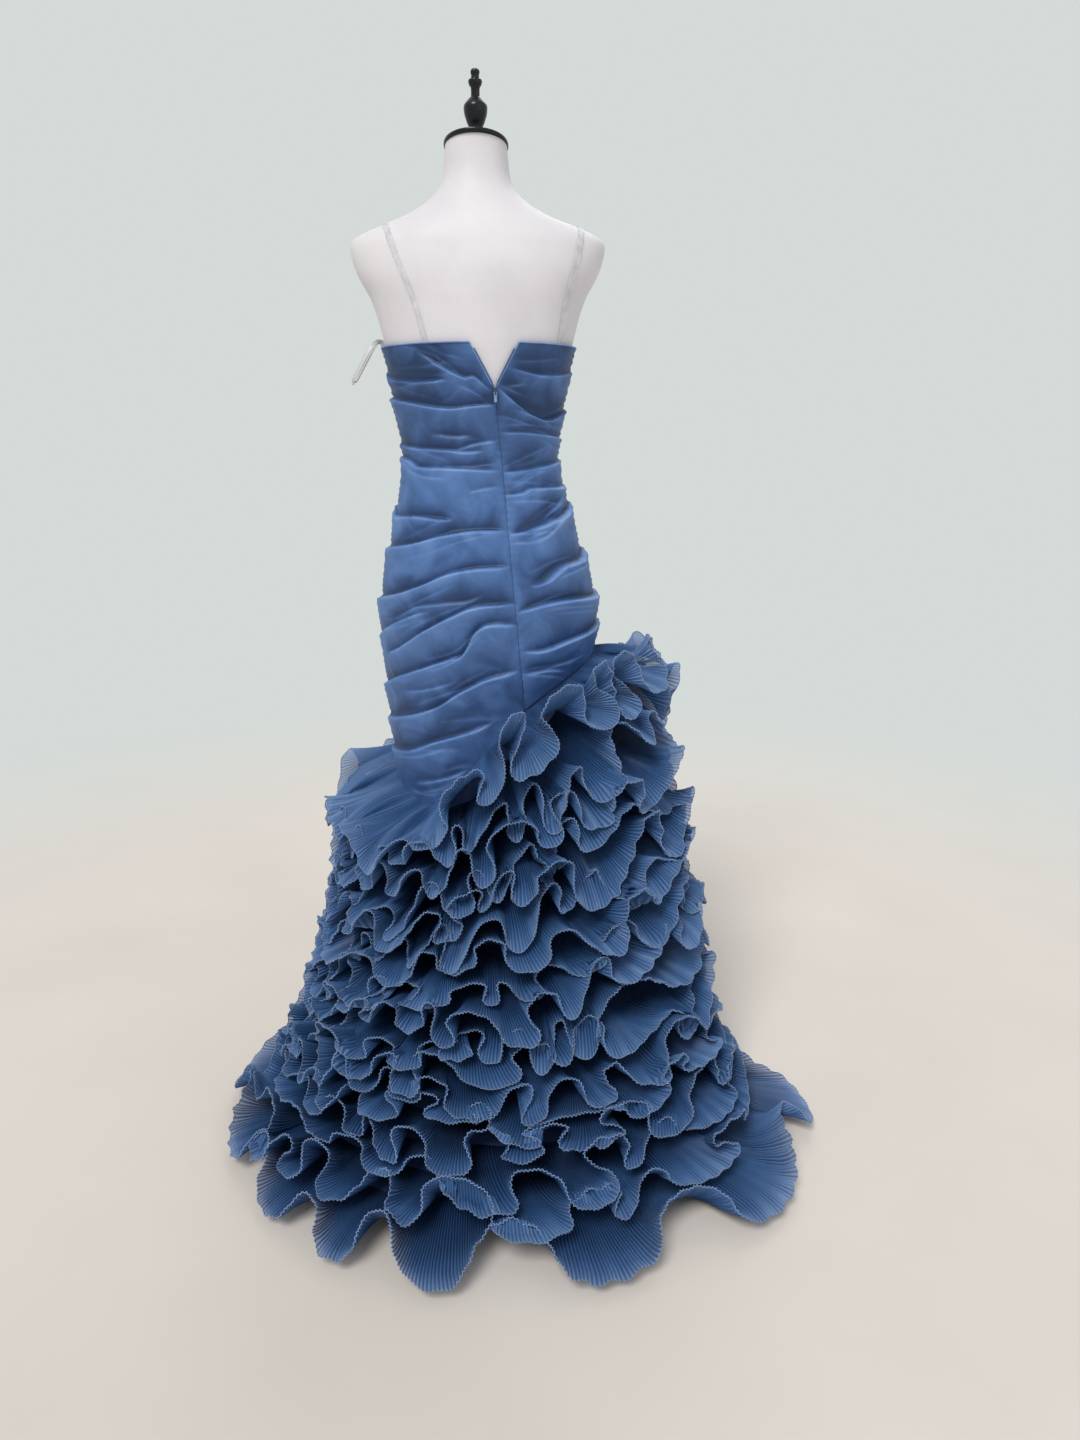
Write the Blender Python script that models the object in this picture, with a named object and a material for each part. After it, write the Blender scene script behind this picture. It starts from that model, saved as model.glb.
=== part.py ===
"""Strapless mermaid gown on a limbless dress form, in metres, +Z up.

The origin is the centre of the stand's underside. The back of the gown faces -Y.
Angles round the body run from the centre back (-Y) towards +X, in degrees.
"""
import math
import random

import bmesh
import bpy
from mathutils import Vector

# driving dimensions
topEdgeZ = 1.188          # upper edge of the gown
notchZ = 1.122            # bottom of the open zip
zipEndZ = 0.69            # lower end of the zip
notchHalf = 0.036         # half width of the V at the upper edge
clothClear = 0.0052       # middle of the sheath's wall, out from the figure
skirtClear = 0.0006       # middle of the underskirt's wall at its upper edge
formTuck = -0.0015        # the form's skin, in from the figure
sheathWall = 0.0014
tapeWall = 0.0010
tapeClear = 0.0027        # middle of the zip tape's wall, out from the figure
strapWall = 0.0008
strapHalf = 0.0045
strapClear = 0.0006       # middle of a strap's wall, out from the figure
strapSewn = 0.0036        # the same where it is sewn inside the upper edge
ribbonHalf = 0.003
skirtWall = 0.0012
ruffleWall = 0.0012
seamGap = 0.0004          # half of the gap between panels at a seam
heldAtZip = 0.75          # share of the folds' depth lost at the zip
floorZ = 0.0030           # underskirt's wall where it lies on the floor
sideBulge = 0.034         # how far the skirt fills out at the sides
skirtReach = 0.030        # the last ruffle's reach past the underskirt
tierSpacing = 0.107       # between two seams, as a share of the skirt's profile
ruffleLength = 1.85       # strip width, in spacings between two seams
firstWider = 1.18         # the first strip is wider than the rest
fullWidth = 0.13          # strips narrower than this reach out less
firstHang = 0.0024        # middle of the first strip's wall, out from the underskirt's
laterHang = 0.0021
baseRadius = 0.145
baseHeight = 0.009
poleRadius = 0.014
formBottomZ = 0.63
neckZ = 1.466
neckDrop = -0.0045         # middle of the neck's slanted top, from neckZ
neckSlope = 0.238          # rise of that top towards the back
capSides = 28
formSides = 36
touchGap = 0.0003         # between pieces that rest on each other
sliderDepth = 0.0022
eyeHalf = 0.00080         # half of the square eye in the slider's bridge
barHalf = 0.00040         # half of the pull tab's thickness
tabLength = 0.0140

# cross sections of the figure, from the shoulders down to the knees
bodySections = {
    "z":     [1.480, 1.450, 1.415, 1.392, 1.370, 1.350, 1.338, 1.325, 1.290, 1.250, 1.190,
              1.120, 1.050, 1.016, 0.950, 0.880, 0.800, 0.720, 0.640, 0.560, 0.470],
    "half":  [0.046, 0.048, 0.053, 0.070, 0.106, 0.158, 0.184, 0.191, 0.182, 0.161, 0.144,
              0.130, 0.119, 0.117, 0.131, 0.149, 0.168, 0.166, 0.157, 0.147, 0.139],
    "back":  [0.044, 0.046, 0.052, 0.060, 0.070, 0.079, 0.084, 0.088, 0.096, 0.099, 0.097,
              0.090, 0.083, 0.081, 0.096, 0.116, 0.126, 0.121, 0.111, 0.107, 0.104],
    "front": [0.046, 0.047, 0.050, 0.054, 0.058, 0.063, 0.068, 0.074, 0.092, 0.110, 0.122,
              0.118, 0.101, 0.096, 0.098, 0.101, 0.102, 0.101, 0.099, 0.098, 0.097],
    "shift": [0.000, 0.000, 0.000, 0.000, 0.000, 0.000, 0.000, 0.000, 0.000, 0.000, 0.000,
              0.000, 0.000, 0.001, 0.003, 0.006, 0.010, 0.009, 0.005, 0.001, 0.000],
}

# slanted seam where the sheath ends and the ruffles start
seamCurve = {
    "angle": [-180, -135, -90, -62, -38, 5, 38, 90, 135, 180],
    "z":     [0.640, 0.575, 0.530, 0.497, 0.492, 0.588, 0.660, 0.730, 0.700, 0.640],
}

# outline of the hem on the floor, with the train at the back
hemCurve = {
    "angle":  [-180, -125, -90, -67, -43, -28, 0, 14, 28, 41, 56, 75, 92, 125, 180],
    "radius": [0.295, 0.308, 0.350, 0.435, 0.505, 0.548, 0.588, 0.602, 0.598, 0.588,
               0.570, 0.490, 0.398, 0.322, 0.295],
}

# folds of the sheath: heights at the outer side, the middle and the centre, and the depth
leftFolds = [
    (1.150, 1.142, 1.124, 0.004), (1.106, 1.097, 1.101, 0.005), (1.044, 1.034, 1.050, 0.006),
    (1.022, 1.008, 1.006, 0.004), (0.958, 0.934, 0.951, 0.007), (0.925, 0.905, 0.921, 0.006),
    (0.822, 0.848, 0.864, 0.008), (0.752, 0.786, 0.809, 0.006), (0.680, 0.730, 0.777, 0.007),
    (0.620, 0.664, 0.706, 0.006), (0.575, 0.600, 0.650, 0.005),
]
rightFolds = [
    (1.146, 1.142, 1.124, 0.004), (1.094, 1.079, 1.097, 0.006), (1.048, 1.057, 1.062, 0.004),
    (1.018, 1.009, 1.008, 0.005), (0.987, 0.980, 0.970, 0.005), (0.955, 0.930, 0.915, 0.009),
    (0.882, 0.868, 0.842, 0.012), (0.830, 0.812, 0.797, 0.010), (0.772, 0.752, 0.730, 0.008),
]
frontFolds = [
    (1.140, 1.134, 1.146, 0.005), (1.082, 1.074, 1.086, 0.006), (1.024, 1.018, 1.030, 0.005),
    (0.960, 0.954, 0.962, 0.006), (0.906, 0.890, 0.892, 0.007), (0.852, 0.832, 0.826, 0.008),
    (0.800, 0.772, 0.752, 0.007), (0.762, 0.712, 0.680, 0.006),
]

# straps: across at the back edge, over the shoulder and at the front edge, and their turns
strapCentreZ = 1.29
strapRuns = {
    "strap_left": {"backX": -0.070, "topX": -0.136, "frontX": -0.088,
                   "startTurn": -55, "endTurn": 228},
    "strap_right": {"backX": 0.122, "topX": 0.152, "frontX": 0.100,
                    "startTurn": -67, "endTurn": 230},
}

# ruffle tiers: share of the skirt's profile at the seam, inner and outer reach, fold length
ruffleTiers = [
    {"share": 0.008, "inner": 0.080, "outer": 0.134, "fold": 0.104},
    {"share": 0.115, "inner": 0.062, "outer": 0.102, "fold": 0.088},
    {"share": 0.222, "inner": 0.062, "outer": 0.100, "fold": 0.086},
    {"share": 0.330, "inner": 0.062, "outer": 0.098, "fold": 0.092},
    {"share": 0.438, "inner": 0.062, "outer": 0.098, "fold": 0.098},
    {"share": 0.546, "inner": 0.060, "outer": 0.092, "fold": 0.104},
    {"share": 0.654, "inner": 0.059, "outer": 0.088, "fold": 0.110},
    {"share": 0.760, "inner": 0.052, "outer": 0.080, "fold": 0.118},
    {"share": 0.864, "inner": 0.004, "outer": 0.032, "fold": 0.126},
]


def clearScene():
    for old in list(bpy.data.objects):
        bpy.data.objects.remove(old, do_unlink=True)


def material(name, colour, roughness, metallic=0.0):
    made = bpy.data.materials.new(name)
    made.use_nodes = True
    shader = made.node_tree.nodes["Principled BSDF"]
    shader.inputs["Base Color"].default_value = (*colour, 1.0)
    shader.inputs["Roughness"].default_value = roughness
    shader.inputs["Metallic"].default_value = metallic
    return made


def smoothRead(keys, values, key):
    """Read a table with a cubic through its rows; keys may rise or fall."""
    if keys[0] > keys[-1]:
        keys = keys[::-1]
        values = values[::-1]
    if key <= keys[0]:
        return values[0]
    if key >= keys[-1]:
        return values[-1]
    row = max(i for i in range(len(keys) - 1) if keys[i] <= key)

    def slope(i):
        low = max(i - 1, 0)
        high = min(i + 1, len(keys) - 1)
        return (values[high] - values[low]) / (keys[high] - keys[low])

    span = keys[row + 1] - keys[row]
    t = (key - keys[row]) / span
    start = values[row] * (2 * t**3 - 3 * t**2 + 1) + span * slope(row) * (t**3 - 2 * t**2 + t)
    end = values[row + 1] * (3 * t**2 - 2 * t**3) + span * slope(row + 1) * (t**3 - t**2)
    return start + end


def wrap(angle):
    return (angle + 180.0) % 360.0 - 180.0


def bodyRead(column, z):
    return smoothRead(bodySections["z"], bodySections[column], z)


def bodyRadius(angle, z):
    depth = bodyRead("back" if math.cos(math.radians(angle)) > 0 else "front", z)
    across = math.sin(math.radians(angle)) / bodyRead("half", z)
    along = math.cos(math.radians(angle)) / depth
    return 1.0 / math.hypot(across, along)


def bodyPoint(angle, z, out=0.0):
    radius = bodyRadius(angle, z) + out
    turn = math.radians(angle)
    return Vector((bodyRead("shift", z) + radius * math.sin(turn), -radius * math.cos(turn), z))


def seamZ(angle):
    return smoothRead(seamCurve["angle"], seamCurve["z"], wrap(angle))


def hemRadius(angle):
    return smoothRead(hemCurve["angle"], hemCurve["radius"], wrap(angle)) - skirtReach


def finish(mesh, name, look, smooth=True):
    made = bpy.data.objects.new(name, mesh)
    bpy.context.collection.objects.link(made)
    mesh.materials.append(look)
    if smooth:
        mesh.shade_smooth()
    return made


def wall(name, rows, thickness, look, closed=False):
    """Cloth wall from rows of points, thickened evenly on both sides."""
    count = len(rows[0])
    points = [p for row in rows for p in row]
    faces = []
    for i in range(len(rows) - 1):
        for j in range(count if closed else count - 1):
            a = i * count + j
            b = i * count + (j + 1) % count
            c = b + count
            d = a + count
            if (points[a] - points[c]).length < (points[b] - points[d]).length:
                faces += [(a, b, c), (a, c, d)]
            else:
                faces += [(a, b, d), (b, c, d)]
    mesh = bpy.data.meshes.new(name)
    mesh.from_pydata(points, [], faces)
    made = finish(mesh, name, look)
    solidify = made.modifiers.new("wall", "SOLIDIFY")
    solidify.thickness = thickness
    solidify.offset = 0.0
    return made


def stack(name, rings, look, smooth=True):
    """Solid through stacked rings of points, capped at both ends."""
    count = len(rings[0])
    points = [p for ring in rings for p in ring]
    faces = [tuple(reversed(range(count)))]
    for i in range(len(rings) - 1):
        for j in range(count):
            a = i * count + j
            b = i * count + (j + 1) % count
            faces.append((a, b, b + count, a + count))
    faces.append(tuple(range(len(points) - count, len(points))))
    mesh = bpy.data.meshes.new(name)
    mesh.from_pydata(points, [], faces)
    return finish(mesh, name, look, smooth)


def turned(name, profile, look, sides=24):
    """Turned solid from (radius, height) rows, bottom to top."""
    rings = []
    for radius, z in profile:
        turns = [2 * math.pi * j / sides for j in range(sides)]
        rings.append([Vector((radius * math.cos(t), radius * math.sin(t), z)) for t in turns])
    return stack(name, rings, look)


# ---- dress form

def formBody(look):
    levels = [formBottomZ, 0.640, 0.67, 0.72, 0.77, 0.82, 0.87, 0.92, 0.97, 1.02, 1.07, 1.12,
              1.16, 1.20, 1.24, 1.27, 1.30, 1.325, 1.338, 1.35, 1.36, 1.375, 1.39, 1.405, 1.43,
              neckZ]
    rings = []
    for z in levels:
        tuck = formTuck if z > formBottomZ else 8 * formTuck
        rings.append([bodyPoint(360.0 * j / formSides, z, tuck) for j in range(formSides)])
    rings[-1] = lean(rings[-1])
    return stack("form_body", rings, look)


def lean(ring, share=1.0):
    """Ring of points put on the neck's slant, which is higher at the back."""
    return [p + Vector((0, 0, share * (neckDrop - neckSlope * p.y))) for p in ring]


def formFittings(gloss, steel):
    """Turned cap and finial above the neck, pole and foot below the body."""
    cap = [(0.0440, 0.0004, 1.0), (0.0471, 0.0014, 1.0), (0.0471, 0.0044, 1.0),
           (0.0445, 0.0066, 1.0), (0.0300, 0.0125, 0.5), (0.0160, 0.0170, 0.0)]
    knob = [(0.0118, 0.0174), (0.0105, 0.0225), (0.0143, 0.0323), (0.0168, 0.0410),
            (0.0173, 0.0473), (0.0143, 0.0539), (0.0080, 0.0606), (0.0062, 0.0640),
            (0.0062, 0.0700), (0.0088, 0.0764), (0.0102, 0.0810), (0.0094, 0.0835),
            (0.0058, 0.0880), (0.0067, 0.0935), (0.0045, 0.0970), (0.0012, 0.0985)]
    rings = []
    for radius, up, share in cap:
        turns = [2 * math.pi * j / capSides for j in range(capSides)]
        ring = [Vector((radius * math.cos(t), radius * math.sin(t), neckZ + up)) for t in turns]
        rings.append(lean(ring, share))
    stack("neck_cap", rings, gloss)
    turned("finial", [(radius, neckZ + up) for radius, up in knob], gloss, 20)
    collar = 0.030
    foot = [(baseRadius - 0.002, 0.0), (baseRadius, 0.002), (baseRadius, baseHeight - 0.002),
            (baseRadius - 0.004, baseHeight), (0.024, baseHeight + 0.001),
            (0.020, baseHeight + collar)]
    turned("stand_base", foot, steel, 40)
    rod = [(poleRadius, baseHeight + collar + touchGap), (poleRadius, formBottomZ - touchGap)]
    turned("stand_pole", rod, steel, 20)


# ---- sheath

def centreX(z):
    """Line of the zip, which drifts across the back on its way down."""
    return 0.0277 + (notchZ - z) / (notchZ - zipEndZ) * (0.0665 - 0.0277)


def edgeAngle(z, side):
    """Angle of a back panel's inner edge; side is -1 for left, 1 for right."""
    opening = max(0.0, (z - notchZ) / (topEdgeZ - notchZ)) * notchHalf
    x = centreX(min(z, notchZ)) + side * (opening + seamGap) - bodyRead("shift", z)
    reach = bodyRead("back", z) + clothClear
    halfWidth = bodyRead("half", z) + clothClear
    y = reach * math.sqrt(1 - (x / halfWidth) ** 2)
    return math.degrees(math.atan2(x, y))


def bowed(start, middle, end, t):
    """Quadratic through three heights at t = 0, 0.5 and 1."""
    return start * (1 - t) * (1 - 2 * t) + 4 * middle * t * (1 - t) + end * t * (2 * t - 1)


def panelRows(folds, topHeights, angleAt, columns, held):
    """Rows of a ruched panel: each fold is a step out, then a slope back in.

    The share held is how much of a fold's depth the zip's stitching takes away.
    """
    rows = []
    shares = [j / (columns - 1) for j in range(columns)]

    def row(heights, out):
        made = []
        for j, t in enumerate(shares):
            z = heights[j]
            step = out * (1 - held * t**6)
            made.append(bodyPoint(angleAt(t, z), z, clothClear + step))
        return made

    previous = [bowed(*topHeights, t) for t in shares]
    rows.append(row(previous, 0.001))
    for sideZ, middleZ, endZ, depth in folds:
        heights = []
        for j, t in enumerate(shares):
            low = seamZ(angleAt(t, 0.6)) + 0.012
            heights.append(min(max(bowed(sideZ, middleZ, endZ, t), low), previous[j] - 0.006))
        rows.append(row([z + 0.0025 for z in heights], 0.0))
        rows.append(row(heights, depth))
        previous = heights
    bottom = [seamZ(angleAt(t, 0.6)) for t in shares]
    rows.append(row([min(z, p - 0.004) for z, p in zip(bottom, previous)], 0.0005))
    return rows


def sheath(look):
    topLine = (topEdgeZ - 0.004, topEdgeZ, topEdgeZ)
    sideGap = math.degrees(seamGap / 0.14)

    def leftAngle(t, z):
        return -90 + sideGap + t * (edgeAngle(z, -1) + 90 - sideGap)

    def rightAngle(t, z):
        return 90 - sideGap - t * (90 - sideGap - edgeAngle(z, 1))

    def frontAngle(t, z):
        return 90 + sideGap + t * (180 - 2 * sideGap)

    frontTop = (topEdgeZ - 0.004, topEdgeZ + 0.006, topEdgeZ - 0.004)
    left = panelRows(leftFolds, topLine, leftAngle, 11, heldAtZip)
    right = panelRows(rightFolds, topLine, rightAngle, 8, heldAtZip)
    front = panelRows(frontFolds, frontTop, frontAngle, 17, 0.0)
    wall("back_panel_left", left, sheathWall, look)
    wall("back_panel_right", right, sheathWall, look)
    wall("front_panel", front, sheathWall, look)


# ---- zip

def zipTapes(look):
    for name, side in (("zip_tape_left", -1), ("zip_tape_right", 1)):
        rows = []
        for i in range(17):
            z = 1.180 + (zipEndZ - 1.180) * i / 16
            inner = edgeAngle(z, side)
            outer = inner + side * math.degrees(0.011 / bodyRadius(inner, z))
            rows.append([bodyPoint(inner, z, tapeClear), bodyPoint(outer, z, tapeClear)])
        wall(name, rows, tapeWall, look)


def framed(outline, window, thickness, place):
    """Plate with a window; place turns (across, along, up) into a point."""
    loops = []
    for layer in (-thickness / 2, thickness / 2):
        for corners in (outline, window):
            loops.append([place(across, layer, up) for across, up in corners])
    points = [p for loop in loops for p in loop]
    faces = []
    for k in range(4):
        n = (k + 1) % 4
        faces.append((k, k + 4, n + 4, n))
        faces.append((k + 8, n + 8, n + 12, k + 12))
        faces.append((k, n, n + 8, k + 8))
        faces.append((k + 4, k + 12, n + 12, n + 4))
    return points, faces


def rectangle(left, right, low, high):
    return [(left, low), (right, low), (right, high), (left, high)]


def closedObject(name, points, faces, look):
    mesh = bpy.data.meshes.new(name)
    mesh.from_pydata(points, [], faces)
    shape = bmesh.new()
    shape.from_mesh(mesh)
    bmesh.ops.recalc_face_normals(shape, faces=shape.faces)
    shape.to_mesh(mesh)
    shape.free()
    return finish(mesh, name, look, False)


def zipHardware(look):
    """Slider with a pierced bridge, and the pull tab that hangs in it."""
    seam = (edgeAngle(notchZ, 1) + edgeAngle(notchZ, -1)) / 2
    face = bodyPoint(seam, notchZ - 0.006, clothClear + 0.0030)
    pin = Vector((face.x, face.y - sliderDepth - 0.0010, notchZ - 0.0030))
    rings = []
    for rise, half in ((-0.0060, 0.0018), (-0.0030, 0.0030), (0.0025, 0.0034), (0.0060, 0.0026)):
        corners = [(-half, 0.0), (-half, -sliderDepth), (half, -sliderDepth), (half, 0.0)]
        rings.append([Vector((face.x + x, face.y + y, pin.z + rise)) for x, y in corners])
    slider = stack("zip_slider", rings, look, False)

    reach = eyeHalf + 0.0006
    eye = rectangle(-eyeHalf, eyeHalf, -eyeHalf, eyeHalf)
    arch = rectangle(-reach, reach + 0.0006, -reach, reach)
    points, faces = framed(arch, eye, 0.0016, lambda y, x, z: pin + Vector((x, y, z)))
    bridge = closedObject("slider_bridge", points, faces, look)
    bridge.hide_render = True
    bridge.display_type = "WIRE"
    joined = slider.modifiers.new("bridge", "BOOLEAN")
    joined.operation = "UNION"
    joined.object = bridge

    body = rectangle(-0.0022, 0.0022, -tabLength, barHalf)
    gap = rectangle(-0.0013, 0.0013, -0.0040, -barHalf)
    points, faces = framed(body, gap, 2 * barHalf, lambda x, y, z: Vector((x, y, z)))
    tab = closedObject("zip_pull_tab", points, faces, look)
    tab.location = pin


# ---- underskirt and ruffles

def skirtProfile(angle, share):
    """Point (radius, z) and outward normal of the underskirt at a share of its length."""
    topZ = seamZ(angle) - 0.0035
    start = bodyRadius(angle, topZ) + skirtClear
    end = hemRadius(angle)
    sideways = math.sin(math.radians(angle)) ** 2
    bulge = sideBulge * sideways
    lower = 0.50 - 0.20 * sideways
    bends = [(start, topZ), (start + 0.1 * (end - start) + 0.008 + bulge, topZ * 0.52),
             (start + lower * (end - start) + 0.4 * bulge, floorZ), (end, floorZ)]

    def at(t):
        weights = ((1 - t) ** 3, 3 * t * (1 - t) ** 2, 3 * t * t * (1 - t), t**3)
        return Vector((sum(w * p[0] for w, p in zip(weights, bends)),
                       sum(w * p[1] for w, p in zip(weights, bends))))

    steps = [at(k / 40) for k in range(41)]
    runs = [0.0]
    for k in range(40):
        runs.append(runs[-1] + (steps[k + 1] - steps[k]).length)
    if share >= 1.0:
        place = steps[-1] + Vector(((share - 1.0) * runs[-1], 0.0))
        return place, Vector((0.0, 1.0)), runs[-1]
    target = share * runs[-1]
    k = max(i for i in range(40) if runs[i] <= target)
    mix = (target - runs[k]) / (runs[k + 1] - runs[k])
    place = steps[k].lerp(steps[k + 1], mix)
    before = steps[max(k - 1, 0)].lerp(steps[k], mix)
    after = steps[k + 1].lerp(steps[min(k + 2, 40)], mix)
    along = (after - before).normalized()
    return place, Vector((-along.y, along.x)), runs[-1]


def skirtPoint(angle, share, out):
    place, normal, _ = skirtProfile(angle, share)
    spot = place + normal * out
    turn = math.radians(angle)
    shift = bodyRead("shift", seamZ(angle)) * (1 - min(share, 1.0))
    return Vector((shift + spot.x * math.sin(turn), -spot.x * math.cos(turn), spot.y))


def underskirt(look):
    shares = [tier["share"] for tier in ruffleTiers] + [1.0]
    rows = [[skirtPoint(10.0 * j, share, 0.0) for j in range(36)] for share in shares]
    return wall("underskirt", rows, skirtWall, look, closed=True)


def foldAngles(share, fold, seed):
    """Angles of a tier's folds: uneven steps that close the ring."""
    dice = random.Random(seed)
    around = 0.0
    for j in range(72):
        a = skirtPoint(5.0 * j, share, 0.0)
        b = skirtPoint(5.0 * (j + 1), share, 0.0)
        around += (b - a).length
    count = round(around / fold)
    steps = [dice.uniform(0.75, 1.25) for _ in range(count)]
    edges = [0.0]
    for step in steps:
        edges.append(edges[-1] + 360.0 * step / sum(steps))
    return edges


def ruffle(number, tier, look):
    """One strip: a plain gathered edge on the seam, and a hem that swings in and out."""
    hang = firstHang if number == 1 else laterHang
    upper = []
    lower = []
    edges = foldAngles(min(tier["share"] + 0.06, 0.97), tier["fold"], 40 + number)
    dice = random.Random(90 + number)
    length = ruffleLength * (firstWider if number == 1 else 1.0) * tierSpacing
    for start, end in zip(edges, edges[1:]):
        swing = dice.uniform(0.80, 1.0)
        for quarter in range(4):
            angle = start + (end - start) * (quarter + 0.5) / 4
            outward = quarter < 2
            pull = -0.06 if quarter in (0, 2) else 0.06
            pull = pull if outward else -pull
            _, _, total = skirtProfile(angle, 0.5)
            width = length * total
            middle = (tier["inner"] + tier["outer"]) / 2
            reach = tier["outer"] if outward else tier["inner"]
            reach = middle + (reach - middle) * (swing if outward else 1.0)
            reach = reach * min(1.0, width / fullWidth)
            run = math.sqrt(width**2 - reach**2)
            upper.append(skirtPoint(angle, tier["share"], hang))
            lower.append(skirtPoint(angle + pull * (end - start), tier["share"] + run / total,
                                    reach))
    return wall("ruffle_" + str(number), [upper, lower], ruffleWall, look, closed=True)


# ---- straps and ribbon

def formSurface(x, turn):
    """Point of the figure in the plane of x, on a ray from inside the shoulders."""
    low = 0.0
    high = 0.30
    for _ in range(40):
        middle = (low + high) / 2
        y = -middle * math.cos(turn)
        z = strapCentreZ + middle * math.sin(turn)
        depth = bodyRead("back" if y < 0 else "front", z)
        inside = (x / bodyRead("half", z)) ** 2 + (y / depth) ** 2 < 1
        low, high = (middle, high) if inside else (low, middle)
    return Vector((x, -low * math.cos(turn), strapCentreZ + low * math.sin(turn)))


def strap(name, run, look):
    """Strip from inside the back's upper edge, over the shoulder, to the front's."""
    steps = 26
    rows = []
    for i in range(steps + 1):
        t = i / steps
        turn = math.radians(run["startTurn"] + t * (run["endTurn"] - run["startTurn"]))
        base = run["backX"] + t * (run["frontX"] - run["backX"])
        x = base + (run["topX"] - (run["backX"] + run["frontX"]) / 2) * math.sin(math.pi * t)
        sewn = max(0.0, 1 - 8 * min(t, 1 - t))
        row = []
        for edge in (-strapHalf, strapHalf):
            spot = formSurface(x + edge, turn)
            out = Vector((0.25 * x / 0.14, -math.cos(turn), math.sin(turn))).normalized()
            row.append(spot + out * (strapClear + sewn * (strapSewn - strapClear)))
        rows.append(row)
    return wall(name, rows, strapWall, look)


def hangerRibbon(look):
    strand = [(-0.1450, -0.0036, 1.1780), (-0.1452, -0.0036, 1.1860), (-0.1480, -0.0055, 1.1935),
              (-0.1545, -0.0120, 1.1935), (-0.1630, -0.0170, 1.1850), (-0.1750, -0.0240, 1.1640),
              (-0.1870, -0.0290, 1.1420)]
    returning = [(-0.1900, -0.0250, 1.1340), (-0.1850, -0.0190, 1.1410), (-0.1725, -0.0120, 1.1640),
                 (-0.1610, -0.0030, 1.1860), (-0.1545, 0.0020, 1.1935), (-0.1480, 0.0040, 1.1935),
                 (-0.1454, 0.0042, 1.1860), (-0.1452, 0.0042, 1.1780)]
    rows = []
    for x, y, z in strand + returning:
        rows.append([Vector((x, y - ribbonHalf, z)), Vector((x, y + ribbonHalf, z + 0.001))])
    return wall("hanger_ribbon", rows, 0.0010, look)


def main():
    clearScene()
    sheathLook = material("steel_blue_organza", (0.076, 0.139, 0.290), 0.55)
    ruffleLook = material("pleated_organza", (0.062, 0.117, 0.240), 0.60)
    skirtLook = material("skirt_lining_cloth", (0.030, 0.060, 0.130), 0.70)
    tapeLook = material("zip_tape_cloth", (0.060, 0.110, 0.230), 0.75)
    metalLook = material("zip_painted_metal", (0.070, 0.130, 0.260), 0.35, 0.3)
    clearLook = material("clear_strap_plastic", (0.80, 0.82, 0.84), 0.15)
    ribbonLook = material("white_satin_ribbon", (0.82, 0.82, 0.84), 0.35)
    formLook = material("white_form_skin", (0.77, 0.74, 0.77), 0.45)
    glossLook = material("black_turned_wood", (0.010, 0.010, 0.012), 0.15)
    poleLook = material("black_painted_steel", (0.015, 0.015, 0.016), 0.40)

    formBody(formLook)
    formFittings(glossLook, poleLook)
    sheath(sheathLook)
    zipTapes(tapeLook)
    zipHardware(metalLook)
    underskirt(skirtLook)
    for number, tier in enumerate(ruffleTiers, 1):
        ruffle(number, tier, ruffleLook)
    for name, run in strapRuns.items():
        strap(name, run, clearLook)
    hangerRibbon(ribbonLook)


main()
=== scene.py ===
import math
import random

import bpy
import numpy as np
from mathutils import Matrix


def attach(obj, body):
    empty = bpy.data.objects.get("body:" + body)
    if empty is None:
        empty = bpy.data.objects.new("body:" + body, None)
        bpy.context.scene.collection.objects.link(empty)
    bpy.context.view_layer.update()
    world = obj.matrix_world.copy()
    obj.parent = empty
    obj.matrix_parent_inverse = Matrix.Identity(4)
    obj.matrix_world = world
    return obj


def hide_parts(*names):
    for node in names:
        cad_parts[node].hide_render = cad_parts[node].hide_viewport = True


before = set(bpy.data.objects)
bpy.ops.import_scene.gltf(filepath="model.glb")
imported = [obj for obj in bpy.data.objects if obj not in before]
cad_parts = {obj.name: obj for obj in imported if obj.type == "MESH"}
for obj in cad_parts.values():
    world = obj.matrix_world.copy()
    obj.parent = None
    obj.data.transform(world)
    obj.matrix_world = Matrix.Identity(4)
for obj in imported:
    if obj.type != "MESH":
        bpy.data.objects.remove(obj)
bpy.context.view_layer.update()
body = "gown_and_form"

# The figure under the gown, as cross sections. Angles run from the centre back (-Y) towards +X.
figure = {
    "z":     [1.480, 1.450, 1.415, 1.392, 1.370, 1.350, 1.338, 1.325, 1.290, 1.250, 1.190,
              1.120, 1.050, 1.016, 0.950, 0.880, 0.800, 0.720, 0.640, 0.560, 0.470],
    "half":  [0.046, 0.048, 0.053, 0.070, 0.106, 0.158, 0.184, 0.191, 0.182, 0.161, 0.144,
              0.130, 0.119, 0.117, 0.131, 0.149, 0.168, 0.166, 0.157, 0.147, 0.139],
    "back":  [0.044, 0.046, 0.052, 0.060, 0.070, 0.079, 0.084, 0.088, 0.096, 0.099, 0.097,
              0.090, 0.083, 0.081, 0.096, 0.116, 0.126, 0.121, 0.111, 0.107, 0.104],
    "front": [0.046, 0.047, 0.050, 0.054, 0.058, 0.063, 0.068, 0.074, 0.092, 0.110, 0.122,
              0.118, 0.101, 0.096, 0.098, 0.101, 0.102, 0.101, 0.099, 0.098, 0.097],
    "shift": [0.000, 0.000, 0.000, 0.000, 0.000, 0.000, 0.000, 0.000, 0.000, 0.000, 0.000,
              0.000, 0.000, 0.001, 0.003, 0.006, 0.010, 0.009, 0.005, 0.001, 0.000],
}


def linear(hexColour):
    parts = [int(hexColour[k:k + 2], 16) / 255 for k in (1, 3, 5)]
    lit = [c / 12.92 if c <= 0.04045 else ((c + 0.055) / 1.055) ** 2.4 for c in parts]
    return (*lit, 1.0)


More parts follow.
